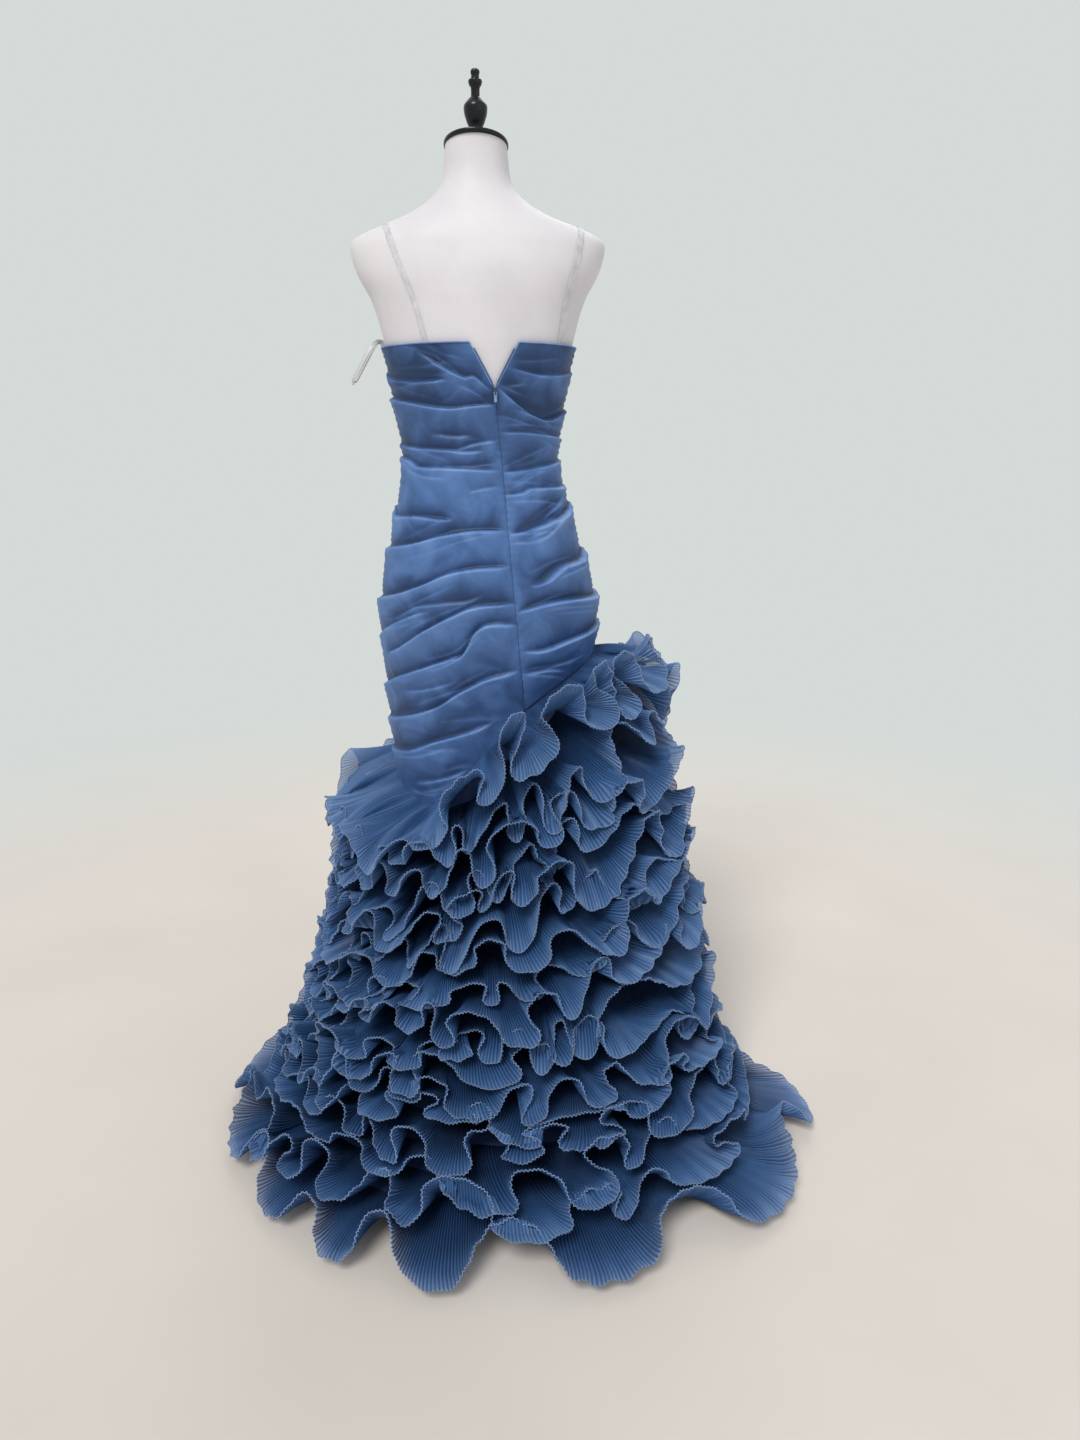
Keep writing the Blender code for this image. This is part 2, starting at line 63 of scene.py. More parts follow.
def addNode(tree, kind, settings=None, links=None):
    # a node with its settings, which may be a colour ramp's stops, and what feeds its sockets
    node = tree.nodes.new(kind)
    for key, value in (settings or {}).items():
        if key == "stops":
            elements = node.color_ramp.elements
            for element, (place, colour) in zip(elements, (value[0], value[-1])):
                element.position = place
                element.color = linear(colour)
            for place, colour in value[1:-1]:
                elements.new(place).color = linear(colour)
        elif isinstance(key, int) or key in node.inputs:
            node.inputs[key].default_value = value
        else:
            setattr(node, key, value)
    for key, source in (links or {}).items():
        tree.links.new(source, node.inputs[key])
    return node


def bandScale(millimetres):
    # wave texture scale whose bands are this far apart, in metres of cloth
    return 2 * math.pi / (20 * millimetres / 1000)


def grainScale(millimetres):
    # noise texture scale whose patches are about this wide
    return 1000 / millimetres


def cubicRead(keys, values, at):
    # cubic through a table's rows, on arrays of any shape
    keys = np.asarray(keys, float)
    values = np.asarray(values, float)
    if keys[0] > keys[-1]:
        keys = keys[::-1]
        values = values[::-1]
    at = np.clip(at, keys[0], keys[-1])
    rows = np.arange(len(keys))
    low = np.maximum(rows - 1, 0)
    high = np.minimum(rows + 1, len(keys) - 1)
    slopes = (values[high] - values[low]) / (keys[high] - keys[low])
    row = np.clip(np.searchsorted(keys, at, side="right") - 1, 0, len(keys) - 2)
    span = keys[row + 1] - keys[row]
    t = (at - keys[row]) / span
    start = values[row] * (2 * t**3 - 3 * t**2 + 1) + span * slopes[row] * (t**3 - 2 * t**2 + t)
    end = values[row + 1] * (3 * t**2 - 2 * t**3) + span * slopes[row + 1] * (t**3 - t**2)
    return start + end


def bodyRead(column, z):
    return cubicRead(figure["z"], figure[column], z)


def bodyRadius(angle, z):
    turn = np.radians(angle)
    depth = np.where(np.cos(turn) > 0, bodyRead("back", z), bodyRead("front", z))
    return 1 / np.hypot(np.sin(turn) / bodyRead("half", z), np.cos(turn) / depth)


def bodyPoint(angle, z, out):
    radius = bodyRadius(angle, z) + out
    turn = np.radians(angle)
    x = bodyRead("shift", z) + radius * np.sin(turn)
    return np.stack([x, -radius * np.cos(turn), z + 0 * radius], -1)


def wrap(angle):
    return (np.asarray(angle) + 180.0) % 360.0 - 180.0


def meshPiece(name, points, faces, loopUv, look, crisp):
    # mesh object from arrays of points, quads and one uv pair per corner
    mesh = bpy.data.meshes.new(name)
    mesh.vertices.add(len(points))
    mesh.vertices.foreach_set("co", np.asarray(points, np.float32).reshape(-1))
    mesh.loops.add(faces.size)
    mesh.loops.foreach_set("vertex_index", faces.astype(np.int32).reshape(-1))
    mesh.polygons.add(len(faces))
    mesh.polygons.foreach_set("loop_start", np.arange(len(faces), dtype=np.int32) * 4)
    mesh.update(calc_edges=True)
    layer = mesh.uv_layers.new(name="cloth")
    layer.data.foreach_set("uv", np.asarray(loopUv, np.float32).reshape(-1))
    mesh.materials.append(look)
    mesh.shade_smooth()
    if crisp is not None:
        mesh.set_sharp_from_angle(angle=math.radians(crisp))
    made = bpy.data.objects.new(name, mesh)
    bpy.context.collection.objects.link(made)
    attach(made, body)
    return made


def gridPiece(name, grid, look, closed=False, across=None, along=None, crisp=None):
    # cloth or skin from rows of points, top to bottom, with angles that grow along a row
    rows, columns = grid.shape[:2]
    steps = columns if closed else columns - 1
    i, j = np.meshgrid(np.arange(rows - 1), np.arange(steps), indexing="ij")
    a = i * columns + j
    b = i * columns + (j + 1) % columns
    faces = np.stack([a, a + columns, b + columns, b], -1).reshape(-1, 4)
    across = np.linspace(0, 1, steps + 1) if across is None else across
    along = np.linspace(0, 1, rows) if along is None else along
    u = np.stack([across[j], across[j], across[j + 1], across[j + 1]], -1)
    v = np.stack([along[i], along[i + 1], along[i + 1], along[i]], -1)
    loopUv = np.stack([u, v], -1).reshape(-1, 2)
    return meshPiece(name, grid.reshape(-1, 3), faces, loopUv, look, crisp)


def unit(vectors):
    return vectors / np.maximum(np.linalg.norm(vectors, axis=-1, keepdims=True), 1e-9)


def tubePiece(name, path, radius, look, closed=False, sides=6, guide=None):
    # round edge or cord along a path; open ends are closed to a point
    path = np.asarray(path, float)
    if closed:
        forward = unit(np.roll(path, -1, 0) - np.roll(path, 1, 0))
    else:
        forward = unit(np.gradient(path, axis=0))
    if guide is None:
        guide = np.array([0.21, 0.13, 0.97])   # along no path that is used here
    side = unit(np.cross(forward, guide))
    up = np.cross(side, forward)
    size = np.full(len(path), radius)
    if not closed:
        size[[0, -1]] = radius * 0.05
    turns = np.arange(sides) * 2 * math.pi / sides
    ring = np.cos(turns)[:, None, None] * side + np.sin(turns)[:, None, None] * up
    grid = path + ring * size[:, None]
    grid = np.concatenate([grid, grid[:1]], 0)
    return gridPiece(name, grid[::-1], look, closed=closed)


def addValues(made, name, values):
    # a number at every point of a piece, for its material to read
    made.data.attributes.new(name, "FLOAT", "POINT")
    made.data.attributes[name].data.foreach_set("value", np.float32(values).reshape(-1))


def turnedGrid(profile, sides):
    # rings of a turned part, from its top down
    turns = np.arange(sides) * 2 * math.pi / sides
    rings = [[(r * math.sin(t), -r * math.cos(t), z) for t in turns] for r, z in profile[::-1]]
    return np.array(rings)


def runLength(points):
    return float(np.linalg.norm(np.diff(points, axis=0), axis=-1).sum())


def newLook(name, settings):
    # material with its own shader, and the places that its patterns are laid by
    made = bpy.data.materials.new(name)
    made.use_nodes = True
    tree = made.node_tree
    shader = tree.nodes["Principled BSDF"]
    for key, value in settings.items():
        shader.inputs[key].default_value = value
    return made, tree, shader, addNode(tree, "ShaderNodeTexCoord").outputs


def patternLook(name, settings, patterns, stops, bump=None):
    # the first pattern colours the surface and the last one raises it: threads are waves that
    # run along the cloth, and every other pattern is noise in space
    made, tree, shader, place = newLook(name, settings)
    drawn = []
    for values in patterns:
        threads = "bands_direction" in values
        drawn.append(addNode(tree, "ShaderNodeTexWave" if threads else "ShaderNodeTexNoise",
                             values, {"Vector": place["UV" if threads else "Object"]}))
    colour = addNode(tree, "ShaderNodeValToRGB", {"stops": stops},
                     {"Fac": drawn[0].outputs["Fac"]})
    tree.links.new(colour.outputs["Color"], shader.inputs["Base Color"])
    if bump:
        raised = addNode(tree, "ShaderNodeBump", bump, {"Height": drawn[-1].outputs["Fac"]})
        tree.links.new(raised.outputs["Normal"], shader.inputs["Normal"])
    return made


def sheathOrganzaLook():
    # polyester organza over satin, woven and ruched. Its colour carries painted light and shade: a
    # painted highlight where a tuck turns over, and painted shade in the hollow above the next tuck
    made, tree, shader, place = newLook("sheathOrganza", {
        "Roughness": 0.48, "Sheen Weight": 0.16, "Sheen Roughness": 0.35,
        "Sheen Tint": linear("#8FAEE0"), "Specular IOR Level": 0.36, "Anisotropic": 0.35})
    # the organza floats off the satin in patches of about 60 mm
    cloud = addNode(tree, "ShaderNodeTexNoise",
                    {"Scale": grainScale(62.5), "Detail": 4.0, "Distortion": 1.2},
                    {"Vector": place["Object"]})
    # painted light and shade of the tucks, by height and towards the sides, picks the colour
    # together with the clouds
    paintedFoldShade = addNode(tree, "ShaderNodeAttribute", {"attribute_name": "foldShade"})
    spread = addNode(tree, "ShaderNodeMath", {"operation": "MULTIPLY", 1: 0.62},
                     {0: cloud.outputs["Fac"]})
    shade = addNode(tree, "ShaderNodeMath", {"operation": "MULTIPLY_ADD", 1: 0.42},
                    {0: paintedFoldShade.outputs["Fac"], 2: spread.outputs[0]})
    colour = addNode(tree, "ShaderNodeValToRGB", {"stops": [
        (0.0, "#223B62"), (0.16, "#32507F"), (0.31, "#46689D"), (0.46, "#577DB6"),
        (0.62, "#6A8EC5"), (0.85, "#88A9D6")]}, {"Fac": shade.outputs[0]})
    tree.links.new(colour.outputs["Color"], shader.inputs["Base Color"])
    # organza threads lie 0.2 mm apart, drawn at 1.6 mm so that they show
    warp, weft = [addNode(tree, "ShaderNodeTexWave",
                          {"Scale": bandScale(1.6), "Distortion": 0.6, "bands_direction": way},
                          {"Vector": place["UV"]}).outputs["Fac"] for way in "XY"]
    weave = addNode(tree, "ShaderNodeMath", {"operation": "ADD"}, {0: warp, 1: weft})
    woven = addNode(tree, "ShaderNodeBump", {"Strength": 0.10, "Distance": 0.0004},
                    {"Height": weave.outputs[0]})
    # soft crumples of about 26 mm between the tucks
    crumple = addNode(tree, "ShaderNodeTexNoise", {"Scale": grainScale(26.3), "Detail": 3.0},
                      {"Vector": place["Object"]})
    creased = addNode(tree, "ShaderNodeBump", {"Strength": 0.35, "Distance": 0.003},
                      {"Height": crumple.outputs["Fac"], "Normal": woven.outputs["Normal"]})
    tree.links.new(creased.outputs["Normal"], shader.inputs["Normal"])
    return made


def pleatedOrganzaLook():
    # heat-set polyester organza: crisp pleats, with painted shade where they are gathered into the
    # seam and in every other pleat, and painted light towards the hem, where the same values also
    # let light through the single layer
    made, tree, shader, place = newLook("pleatedOrganza", {
        "Roughness": 0.52, "Sheen Weight": 0.16, "Sheen Roughness": 0.40,
        "Sheen Tint": linear("#86A6DA"), "Specular IOR Level": 0.30})
    shadeAndSheer = addNode(tree, "ShaderNodeAttribute", {"attribute_name": "pleatOpen"}).outputs["Fac"]
    sheer = addNode(tree, "ShaderNodeMapRange", {"From Min": 0.40, "From Max": 0.85,
                                                 "To Min": 0.98, "To Max": 0.70},
                    {"Value": shadeAndSheer})
    tree.links.new(sheer.outputs["Result"], shader.inputs["Alpha"])
    # lighter and darker places of about 70 mm, as the tiers lie closer or looser
    cloud = addNode(tree, "ShaderNodeTexNoise", {"Scale": grainScale(71.4), "Detail": 3.0},
                    {"Vector": place["Object"]})
    shade = addNode(tree, "ShaderNodeMath", {"operation": "MULTIPLY_ADD", 1: 0.26},
                    {0: cloud.outputs["Fac"], 2: shadeAndSheer})
    colour = addNode(tree, "ShaderNodeValToRGB", {"stops": [
        (0.10, "#081731"), (0.34, "#173258"), (0.56, "#315583"), (0.78, "#4A70A3"),
        (1.0, "#7394C0")]}, {"Fac": shade.outputs[0]})
    tree.links.new(colour.outputs["Color"], shader.inputs["Base Color"])
    # threads 0.2 mm apart, drawn at 1.4 mm across each pleat
    weft = addNode(tree, "ShaderNodeTexWave",
                   {"Scale": bandScale(1.4), "Distortion": 1.0, "bands_direction": "Y"},
                   {"Vector": place["UV"]})
    woven = addNode(tree, "ShaderNodeBump", {"Strength": 0.10, "Distance": 0.0004},
                    {"Height": weft.outputs["Fac"]})
    tree.links.new(woven.outputs["Normal"], shader.inputs["Normal"])
    return made


looks = {
    "sheath": sheathOrganzaLook(),
    "pleats": pleatedOrganzaLook(),
    # overlocked polyester thread, paler than the cloth: the thin light line round every ruffle.
    # Its stitches are 1.2 mm apart, drawn at 2.4 mm so that they show
    "hem": patternLook("overlockedHem",
                       {"Roughness": 0.62, "Sheen Weight": 0.25, "Specular IOR Level": 0.3},
                       [{"Scale": grainScale(2.38), "Detail": 1.0}],
                       [(0.3, "#607EA9"), (0.7, "#849EC5")], {"Strength": 0.4, "Distance": 0.0006}),
    # woven polyester satin, worn in patches of about 55 mm: the deep smooth ground under the
    # ruffles. Threads 0.2 mm apart, drawn at 2 mm
    "lining": patternLook("underskirtSatin",
                          {"Roughness": 0.45, "Sheen Weight": 0.2, "Specular IOR Level": 0.3},
                          [{"Scale": grainScale(55.6), "Detail": 4.0},
                           {"Scale": bandScale(2.0), "bands_direction": "DIAGONAL"}],
                          [(0.3, "#22365C"), (0.5, "#2A4270"), (0.7, "#34507F")],
                          {"Strength": 0.2, "Distance": 0.0004}),
    # woven polyester twill: a flat dull band beside the coils. Ribs 0.6 mm apart, drawn at 1.2 mm
    "tape": patternLook("zipTapeTwill",
                        {"Roughness": 0.8, "Sheen Weight": 0.1, "Specular IOR Level": 0.3},
                        [{"Scale": grainScale(55.6), "Detail": 4.0},
                         {"Scale": bandScale(1.2), "bands_direction": "DIAGONAL"}],
                        [(0.3, "#4F6D9B"), (0.7, "#6F8BB4")],
                        {"Strength": 0.2, "Distance": 0.0004}),
    # extruded clear TPU: see-through, with smears of about 14 mm that catch the light
    "clear": patternLook("clearTpu",
                         {"Roughness": 0.30, "Specular IOR Level": 0.35, "Alpha": 0.36},
                         [{"Scale": grainScale(14.3), "Detail": 2.0}],
                         [(0.3, "#DCDDE2"), (0.7, "#FAFAFC")],
                         {"Strength": 0.15, "Distance": 0.0003}),
    # woven polyester satin ribbon: bright along the float of its threads, which are 0.2 mm apart
    # and drawn at 2.4 mm
    "ribbon": patternLook("satinRibbon",
                          {"Roughness": 0.42, "Sheen Weight": 0.15, "Anisotropic": 0.3,
                           "Alpha": 0.92},
                          [{"Scale": bandScale(2.4), "bands_direction": "X"}],
                          [(0.0, "#BFC1C1"), (1.0, "#D8DAD8")]),
    # moulded fibreglass with a matt white skin: soft shading and faint handling marks of about
    # 110 mm. Its grain is about 0.3 mm, drawn at 1 mm
    "form": patternLook("formCover",
                        {"Roughness": 0.55, "Specular IOR Level": 0.35, "Sheen Weight": 0.08},
                        [{"Scale": grainScale(111.1), "Detail": 6.0, "Roughness": 0.6},
                         {"Scale": grainScale(1.0), "Detail": 2.0}],
                        [(0.30, "#DEDCE0"), (0.50, "#E6E4E8"), (0.70, "#EAE8EB")],
                        {"Strength": 0.06, "Distance": 0.0005}),
    # turned wood under black lacquer: dark, with clear highlights that ripple every 22 mm
    "gloss": patternLook("blackLacquer",
                         {"Roughness": 0.30, "Specular IOR Level": 0.28, "Coat Weight": 0.15,
                          "Coat Roughness": 0.12},
                         [{"Scale": grainScale(22.2), "Detail": 2.0}],
                         [(0.3, "#06070D"), (0.7, "#0D1018")],
                         {"Strength": 0.05, "Distance": 0.001}),
    # black powder-coated steel: orange peel of about 1.4 mm with a dull highlight
    "steel": patternLook("powderCoatedSteel", {"Roughness": 0.42},
                         [{"Scale": grainScale(1.43), "Detail": 2.0}],
                         [(0.3, "#121315"), (0.7, "#1E2023")],
                         {"Strength": 0.25, "Distance": 0.0005}),
}
# die-cast zinc painted to match the cloth: a small hard glint, worn brighter in specks of 1.1 mm.
# The pull tab's copy is painted far paler, a painted highlight for the glint on its bar
for key, name, painted, wearAndGlint in (("slider", "paintedZinc", "#22355C", "#7E92B4"),
                                 ("pull", "paintedZincWithPaintedGlint", "#7E95BE", "#C6D0E2")):
    looks[key] = patternLook(name, {"Metallic": 0.35, "Roughness": 0.30, "Coat Weight": 0.4,
                                    "Coat Roughness": 0.15},
                             [{"Scale": grainScale(1.11), "Detail": 2.0}],
                             [(0.48, painted), (0.88, wearAndGlint)])
print("materials made:", len(looks))


form = {
    "bottomZ": 0.63,
    "neckZ": 1.466,
    "tuck": -0.0015,          # skin, in from the figure
    "sides": 112,
    "rows": 150,
    "lid": (0.02, 0.5, 0.93),  # rings that close the skin's ends, as shares of the edge
    "drop": -0.0045,          # middle of the neck's slanted top, from neckZ
    "slope": 0.238,           # rise of that top towards the back
    "slantZ": 1.43,           # where the skin starts to slant
    "capLevelRadius": 0.016,  # the cap is level inside this radius, under the finial,
    "capSlantSpan": 0.028,    # and slants fully this much further out
    "capLevelUp": 0.0165,     # it is also level from this height up
    "turnedSides": 72,
    "tipRadius": 0.0004,
    "cap": [(0.0440, 0.0002), (0.0462, 0.0004), (0.0471, 0.0014), (0.0471, 0.0044),
            (0.0464, 0.0058), (0.0445, 0.0066), (0.0380, 0.0092), (0.0300, 0.0125),
            (0.0220, 0.0155), (0.0160, 0.0170)],
    "knob": [(0.0118, 0.0168), (0.0106, 0.0185), (0.0105, 0.0231), (0.0126, 0.0273),
             (0.0143, 0.0323), (0.0158, 0.0365), (0.0168, 0.0410), (0.0173, 0.0473),
             (0.0166, 0.0510), (0.0143, 0.0539), (0.0105, 0.0581), (0.0080, 0.0606),
             (0.0064, 0.0622), (0.0062, 0.0681), (0.0065, 0.0735), (0.0088, 0.0764),
             (0.0102, 0.0810), (0.0094, 0.0835), (0.0062, 0.0854), (0.0059, 0.0873),
             (0.0055, 0.0891), (0.0063, 0.0912), (0.0067, 0.0935), (0.0062, 0.0958),
             (0.0045, 0.0975), (0.0026, 0.0982), (0.0012, 0.0985)],
    "foot": [(0.1430, 0.0000), (0.1446, 0.0006), (0.1450, 0.0020), (0.1450, 0.0068),
             (0.1444, 0.0084), (0.1425, 0.0090), (0.1000, 0.0094), (0.0400, 0.0098),
             (0.0260, 0.0106), (0.0236, 0.0130), (0.0215, 0.0220), (0.0204, 0.0360),
             (0.0198, 0.0390)],
    "pole": [(0.0140, 0.0393), (0.0140, 0.2000), (0.0140, 0.4000), (0.0140, 0.6297)],
}


def slanted(points, share):
    # the neck ends on a slant that is higher at the back
    points = points.copy()
    points[..., 2] += share * (form["drop"] - form["slope"] * points[..., 1])
    return points


def makeForm():
    levels = np.linspace(form["neckZ"], form["bottomZ"] + 0.001, form["rows"])
    turns = np.arange(form["sides"]) * 360.0 / form["sides"]
    grid = bodyPoint(turns[None, :], levels[:, None], form["tuck"])
    grid = slanted(grid, np.clip((grid[..., 2] - form["slantZ"])
                                 / (form["neckZ"] - form["slantZ"]), 0, 1))
    lids = [[edge.mean(0) + (edge - edge.mean(0)) * share for share in form["lid"]]
            for edge in (grid[0], grid[-1])]
    grid = np.concatenate([np.array(lids[0]), grid, np.array(lids[1][::-1])], 0)
    skin = gridPiece("form_skin", grid, looks["form"], closed=True, crisp=50)
    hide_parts("form_body")
    for name, node, key, look, slot, lift in (
            ("cap_turned", "neck_cap", "cap", "gloss", "gloss_black_wood", form["neckZ"]),
            ("finial_turned", "finial", "knob", "gloss", "gloss_black_wood", form["neckZ"]),
            ("foot_turned", "stand_base", "foot", "steel", "black_steel", 0.0),
            ("pole_tube", "stand_pole", "pole", "steel", "black_steel", 0.0)):
        profile = [(radius, lift + up) for radius, up in form[key]]
        first, last = [(form["tipRadius"], profile[k][1]) for k in (0, -1)]
        profile = [first] + profile + [last]
        grid = turnedGrid(profile, form["turnedSides"])
        if name == "cap_turned":
            inside = np.hypot(grid[..., 0], grid[..., 1]) - form["capLevelRadius"]
            grid = slanted(grid, np.clip(inside / form["capSlantSpan"], 0, 1)
                           * (grid[..., 2] < form["neckZ"] + form["capLevelUp"]))
        piece = gridPiece(name, grid, looks[look], closed=True, crisp=40)
        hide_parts(node)
    print("form made")


sheath = {
    "topEdgeZ": 1.188,
    "notchZ": 1.122,
    "zipEndZ": 0.69,
    "zipX": (0.0277, 0.0665),  # the zip's line at the notch and at its end
    "notchHalf": 0.036,
    "seamGap": 0.0004,
    "sideRadius": 0.14,
    "backDrop": 0.004,        # of the top edge, from the notch to the side seams
    "frontRise": 0.006,       # of the top edge at the centre front
    "frontDrop": 0.010,       # and from there to the side seams
    "clear": 0.0052,          # cloth, out from the figure
    "deepest": -0.0035,       # most that the cloth sinks from there
    "height": 0.60,           # of a panel, for its rows and its threads
    "lowZ": 0.60,             # where the panels' edges are read for the ruffle seam
    "rowStep": 0.0019,
    "columnStep": 0.0034,
    "takeUp": 1.25,           # the tucks hide a quarter of the cloth's length
    "overlap": 0.011,         # over the first ruffle's seam
    "edgeRoll": 0.0011,       # radius of the turned edge at the top
    "edgePale": 0.95,
    "rollDown": 0.070,        # length of the turned edge down the notch
    # painted light and shade of the organza, by height, down its middle and down its sides
    "shade": {
        "z":      [1.20, 1.17, 1.14, 1.10, 1.06, 1.02, 0.97, 0.92, 0.88, 0.78, 0.73, 0.66, 0.50],
        "middle": [-0.04, -0.04, -0.05, -0.12, 0.10, 0.00, 0.13, -0.05, 0.03, -0.02, 0.08,
                   -0.12, -0.22],
        "sides":  [-0.16, -0.32, -0.38, -0.36, -0.18, -0.10, 0.14, -0.03, 0.02, 0.00, 0.04,
                   -0.12, -0.22]},
    "turned": (0.3, 0.4),     # sine of the turn where the sides' column of painted shade starts, and over what
    "hollowShade": 0.10,      # painted shade added in the bodice's hollows, from hollowZ up
    "hollowZ": (1.04, 0.08),
    "palest": 1.0,
    "darkest": -0.85,
}
# how each tuck is shaped, and how its painted light and shade fall: shares of its depth, and
# lengths across it in mm
tuck = {
    "gain": 1.25,
    "lipMm": 0.6,             # softness of the turned edge
    "hollow": -0.62,          # dip above the turned edge
    "hollowMm": 13,
    "fade": (1, 11, 0.8),     # a free end grows from 1 degree early over 11, to this power
    "shadedMm": 5.5,          # a tuck this deep gets its painted light and shade in full
    "edgeHighlight": (0.50, 0.9, 1.4),  # painted highlight along the turned edge: strength, place and width
    "lit": (0.62, 15),        # strength and length of the painted light below the edge
    "dark": (0.95, 12),       # and of the painted shade above it
}
# short shallow creases between the tucks
crease = {
    "count": 46,
    "span": (9, 26),          # degrees to each side
    "drop": 0.022,            # most that one lies away from its tuck
    "tilt": 0.0006,
    "depth": (0.5, 1.7),
    "tail": (5, 12),
}
# what a panel's edges do to its tucks, with lengths in mm
edging = {
    "topMm": 14,              # the tucks rise over this below the top edge
    "bottom": 0.02,           # and die away over this, in metres, above the ruffle seam
    "lip": (0.0006, 3),       # the top edge itself stands out
    "shared": (-0.003, 0.006, 7),  # least and most relief along a side seam, and its reach
    "slider": (1.107, 0.026),  # height where the slider holds the cloth down, and its reach in m
    "held": (0.70, 0.30, 9, 3),  # what the zip takes away, more at the slider, reach, and more
    "pucker": (11, 2.2, 47, 1.5, 91),  # wave length, then two strays: size and beat
    "flat": (0.45, 12),       # share of the tucks that a seam takes away, and its reach
    "sunk": (0.0016, 2.2),    # how far a seam pulls the cloth in, and its reach
}
# each tuck: depth and tail in mm, then angle and height of its turned edge from end to end
leftTucks = [
    (3.6, 16, [(-46, 1.176), (-29, 1.1555), (-10.6, 1.1395), (-1, 1.140), (7, 1.129), (14, 1.119)]),
    (2.2, 14, [(-34, 1.178), (-29, 1.162), (-22, 1.152)]),
    (4.4, 18, [(-90, 1.150), (-80, 1.1407), (-57, 1.1346), (-39, 1.1341), (-24, 1.136)]),
    (5.0, 22, [(-90, 1.113), (-60, 1.1054), (-38, 1.0984), (-22, 1.0964), (-1, 1.1001),
              (17, 1.1015)]),
    (2.4, 12, [(-43, 1.0588), (-24, 1.0556), (-4, 1.0576)]),
    (3.4, 14, [(-23, 1.0361), (-2, 1.0453), (20, 1.0502)]),
    (4.2, 18, [(-90, 1.046), (-70, 1.041), (-48, 1.0379), (-26, 1.0361), (-13, 1.0337),
              (5, 1.0348)]),
    (4.6, 22, [(-90, 1.026), (-68, 1.0202), (-58, 1.0114), (-29, 1.0105), (-3, 1.0088),
              (20, 1.0065)]),
    (2.0, 14, [(-8, 0.976), (6, 0.981), (20, 0.984)]),
    (5.6, 20, [(-90, 0.950), (-82, 0.936), (-52, 0.9387), (-35, 0.9367), (-24, 0.935)]),
    (6.2, 34, [(-90, 0.884), (-66, 0.892), (-48, 0.9005), (-31, 0.9115), (-13, 0.919),
              (2, 0.9213), (20, 0.9203)]),
    (7.0, 36, [(-90, 0.803), (-60, 0.821), (-41, 0.839), (-24, 0.8568), (-5, 0.8661),
              (20, 0.8685)]),
    (3.0, 16, [(-70, 0.778), (-59, 0.786), (-45, 0.8051), (-29, 0.812), (-11, 0.8177),
              (-1, 0.8265)]),
    (4.2, 20, [(-90, 0.736), (-63, 0.7725), (-45, 0.7934), (-36, 0.800)]),
    (5.6, 26, [(-72, 0.722), (-59, 0.7375), (-41, 0.7673), (-24, 0.7909), (-6, 0.8094),
              (22, 0.814)]),
    (6.0, 26, [(-90, 0.656), (-64, 0.6873), (-43, 0.7091), (-23, 0.7283), (-15, 0.735),
              (-7, 0.7684), (3, 0.7833), (24, 0.7807)]),
    (2.4, 14, [(-61, 0.6646), (-41, 0.6751), (-20, 0.6916)]),
    (5.4, 26, [(-90, 0.606), (-62, 0.6228), (-35, 0.6466), (-18, 0.6729), (1, 0.6957),
              (24, 0.7086)]),
    (4.8, 22, [(-90, 0.556), (-60, 0.565), (-36, 0.5892), (-15, 0.6054), (7, 0.6231)]),
    (3.2, 14, [(-54, 0.5125), (-29, 0.5293), (-9, 0.5466)]),
]
rightTucks = [
    (3.6, 16, [(90, 1.150), (66, 1.1432), (50, 1.1443), (37, 1.149), (30, 1.152)]),
    (2.0, 12, [(42, 1.132), (31, 1.1278), (22, 1.1277)]),
    (5.2, 20, [(90, 1.096), (68, 1.0801), (54, 1.0821), (37, 1.0997), (20, 1.124)]),
    (3.4, 16, [(90, 1.052), (64, 1.057), (43, 1.0615), (22, 1.0617)]),
    (4.2, 18, [(90, 1.020), (77, 1.0153), (44, 1.0073), (22, 1.0037)]),
    (4.4, 16, [(90, 0.982), (79, 0.979), (46, 0.9801), (38, 0.9742), (21, 0.9712)]),
    (6.4, 28, [(90, 0.956), (71, 0.9381), (57, 0.9318), (40, 0.9225), (22, 0.9139)]),
    (4.0, 12, [(76, 0.9665), (59, 0.9457), (47, 0.9288), (40, 0.922)]),
    (9.0, 30, [(90, 0.884), (76, 0.8697), (55, 0.8636), (40, 0.8436), (33, 0.838)]),
    (8.0, 28, [(90, 0.812), (80, 0.8100), (55, 0.8138), (38, 0.8111), (22, 0.8001)]),
    (6.0, 26, [(90, 0.768), (70, 0.7571), (55, 0.7499), (39, 0.7391), (26, 0.7384)]),
    (3.0, 14, [(56, 0.700), (44, 0.706), (27, 0.704)]),
]
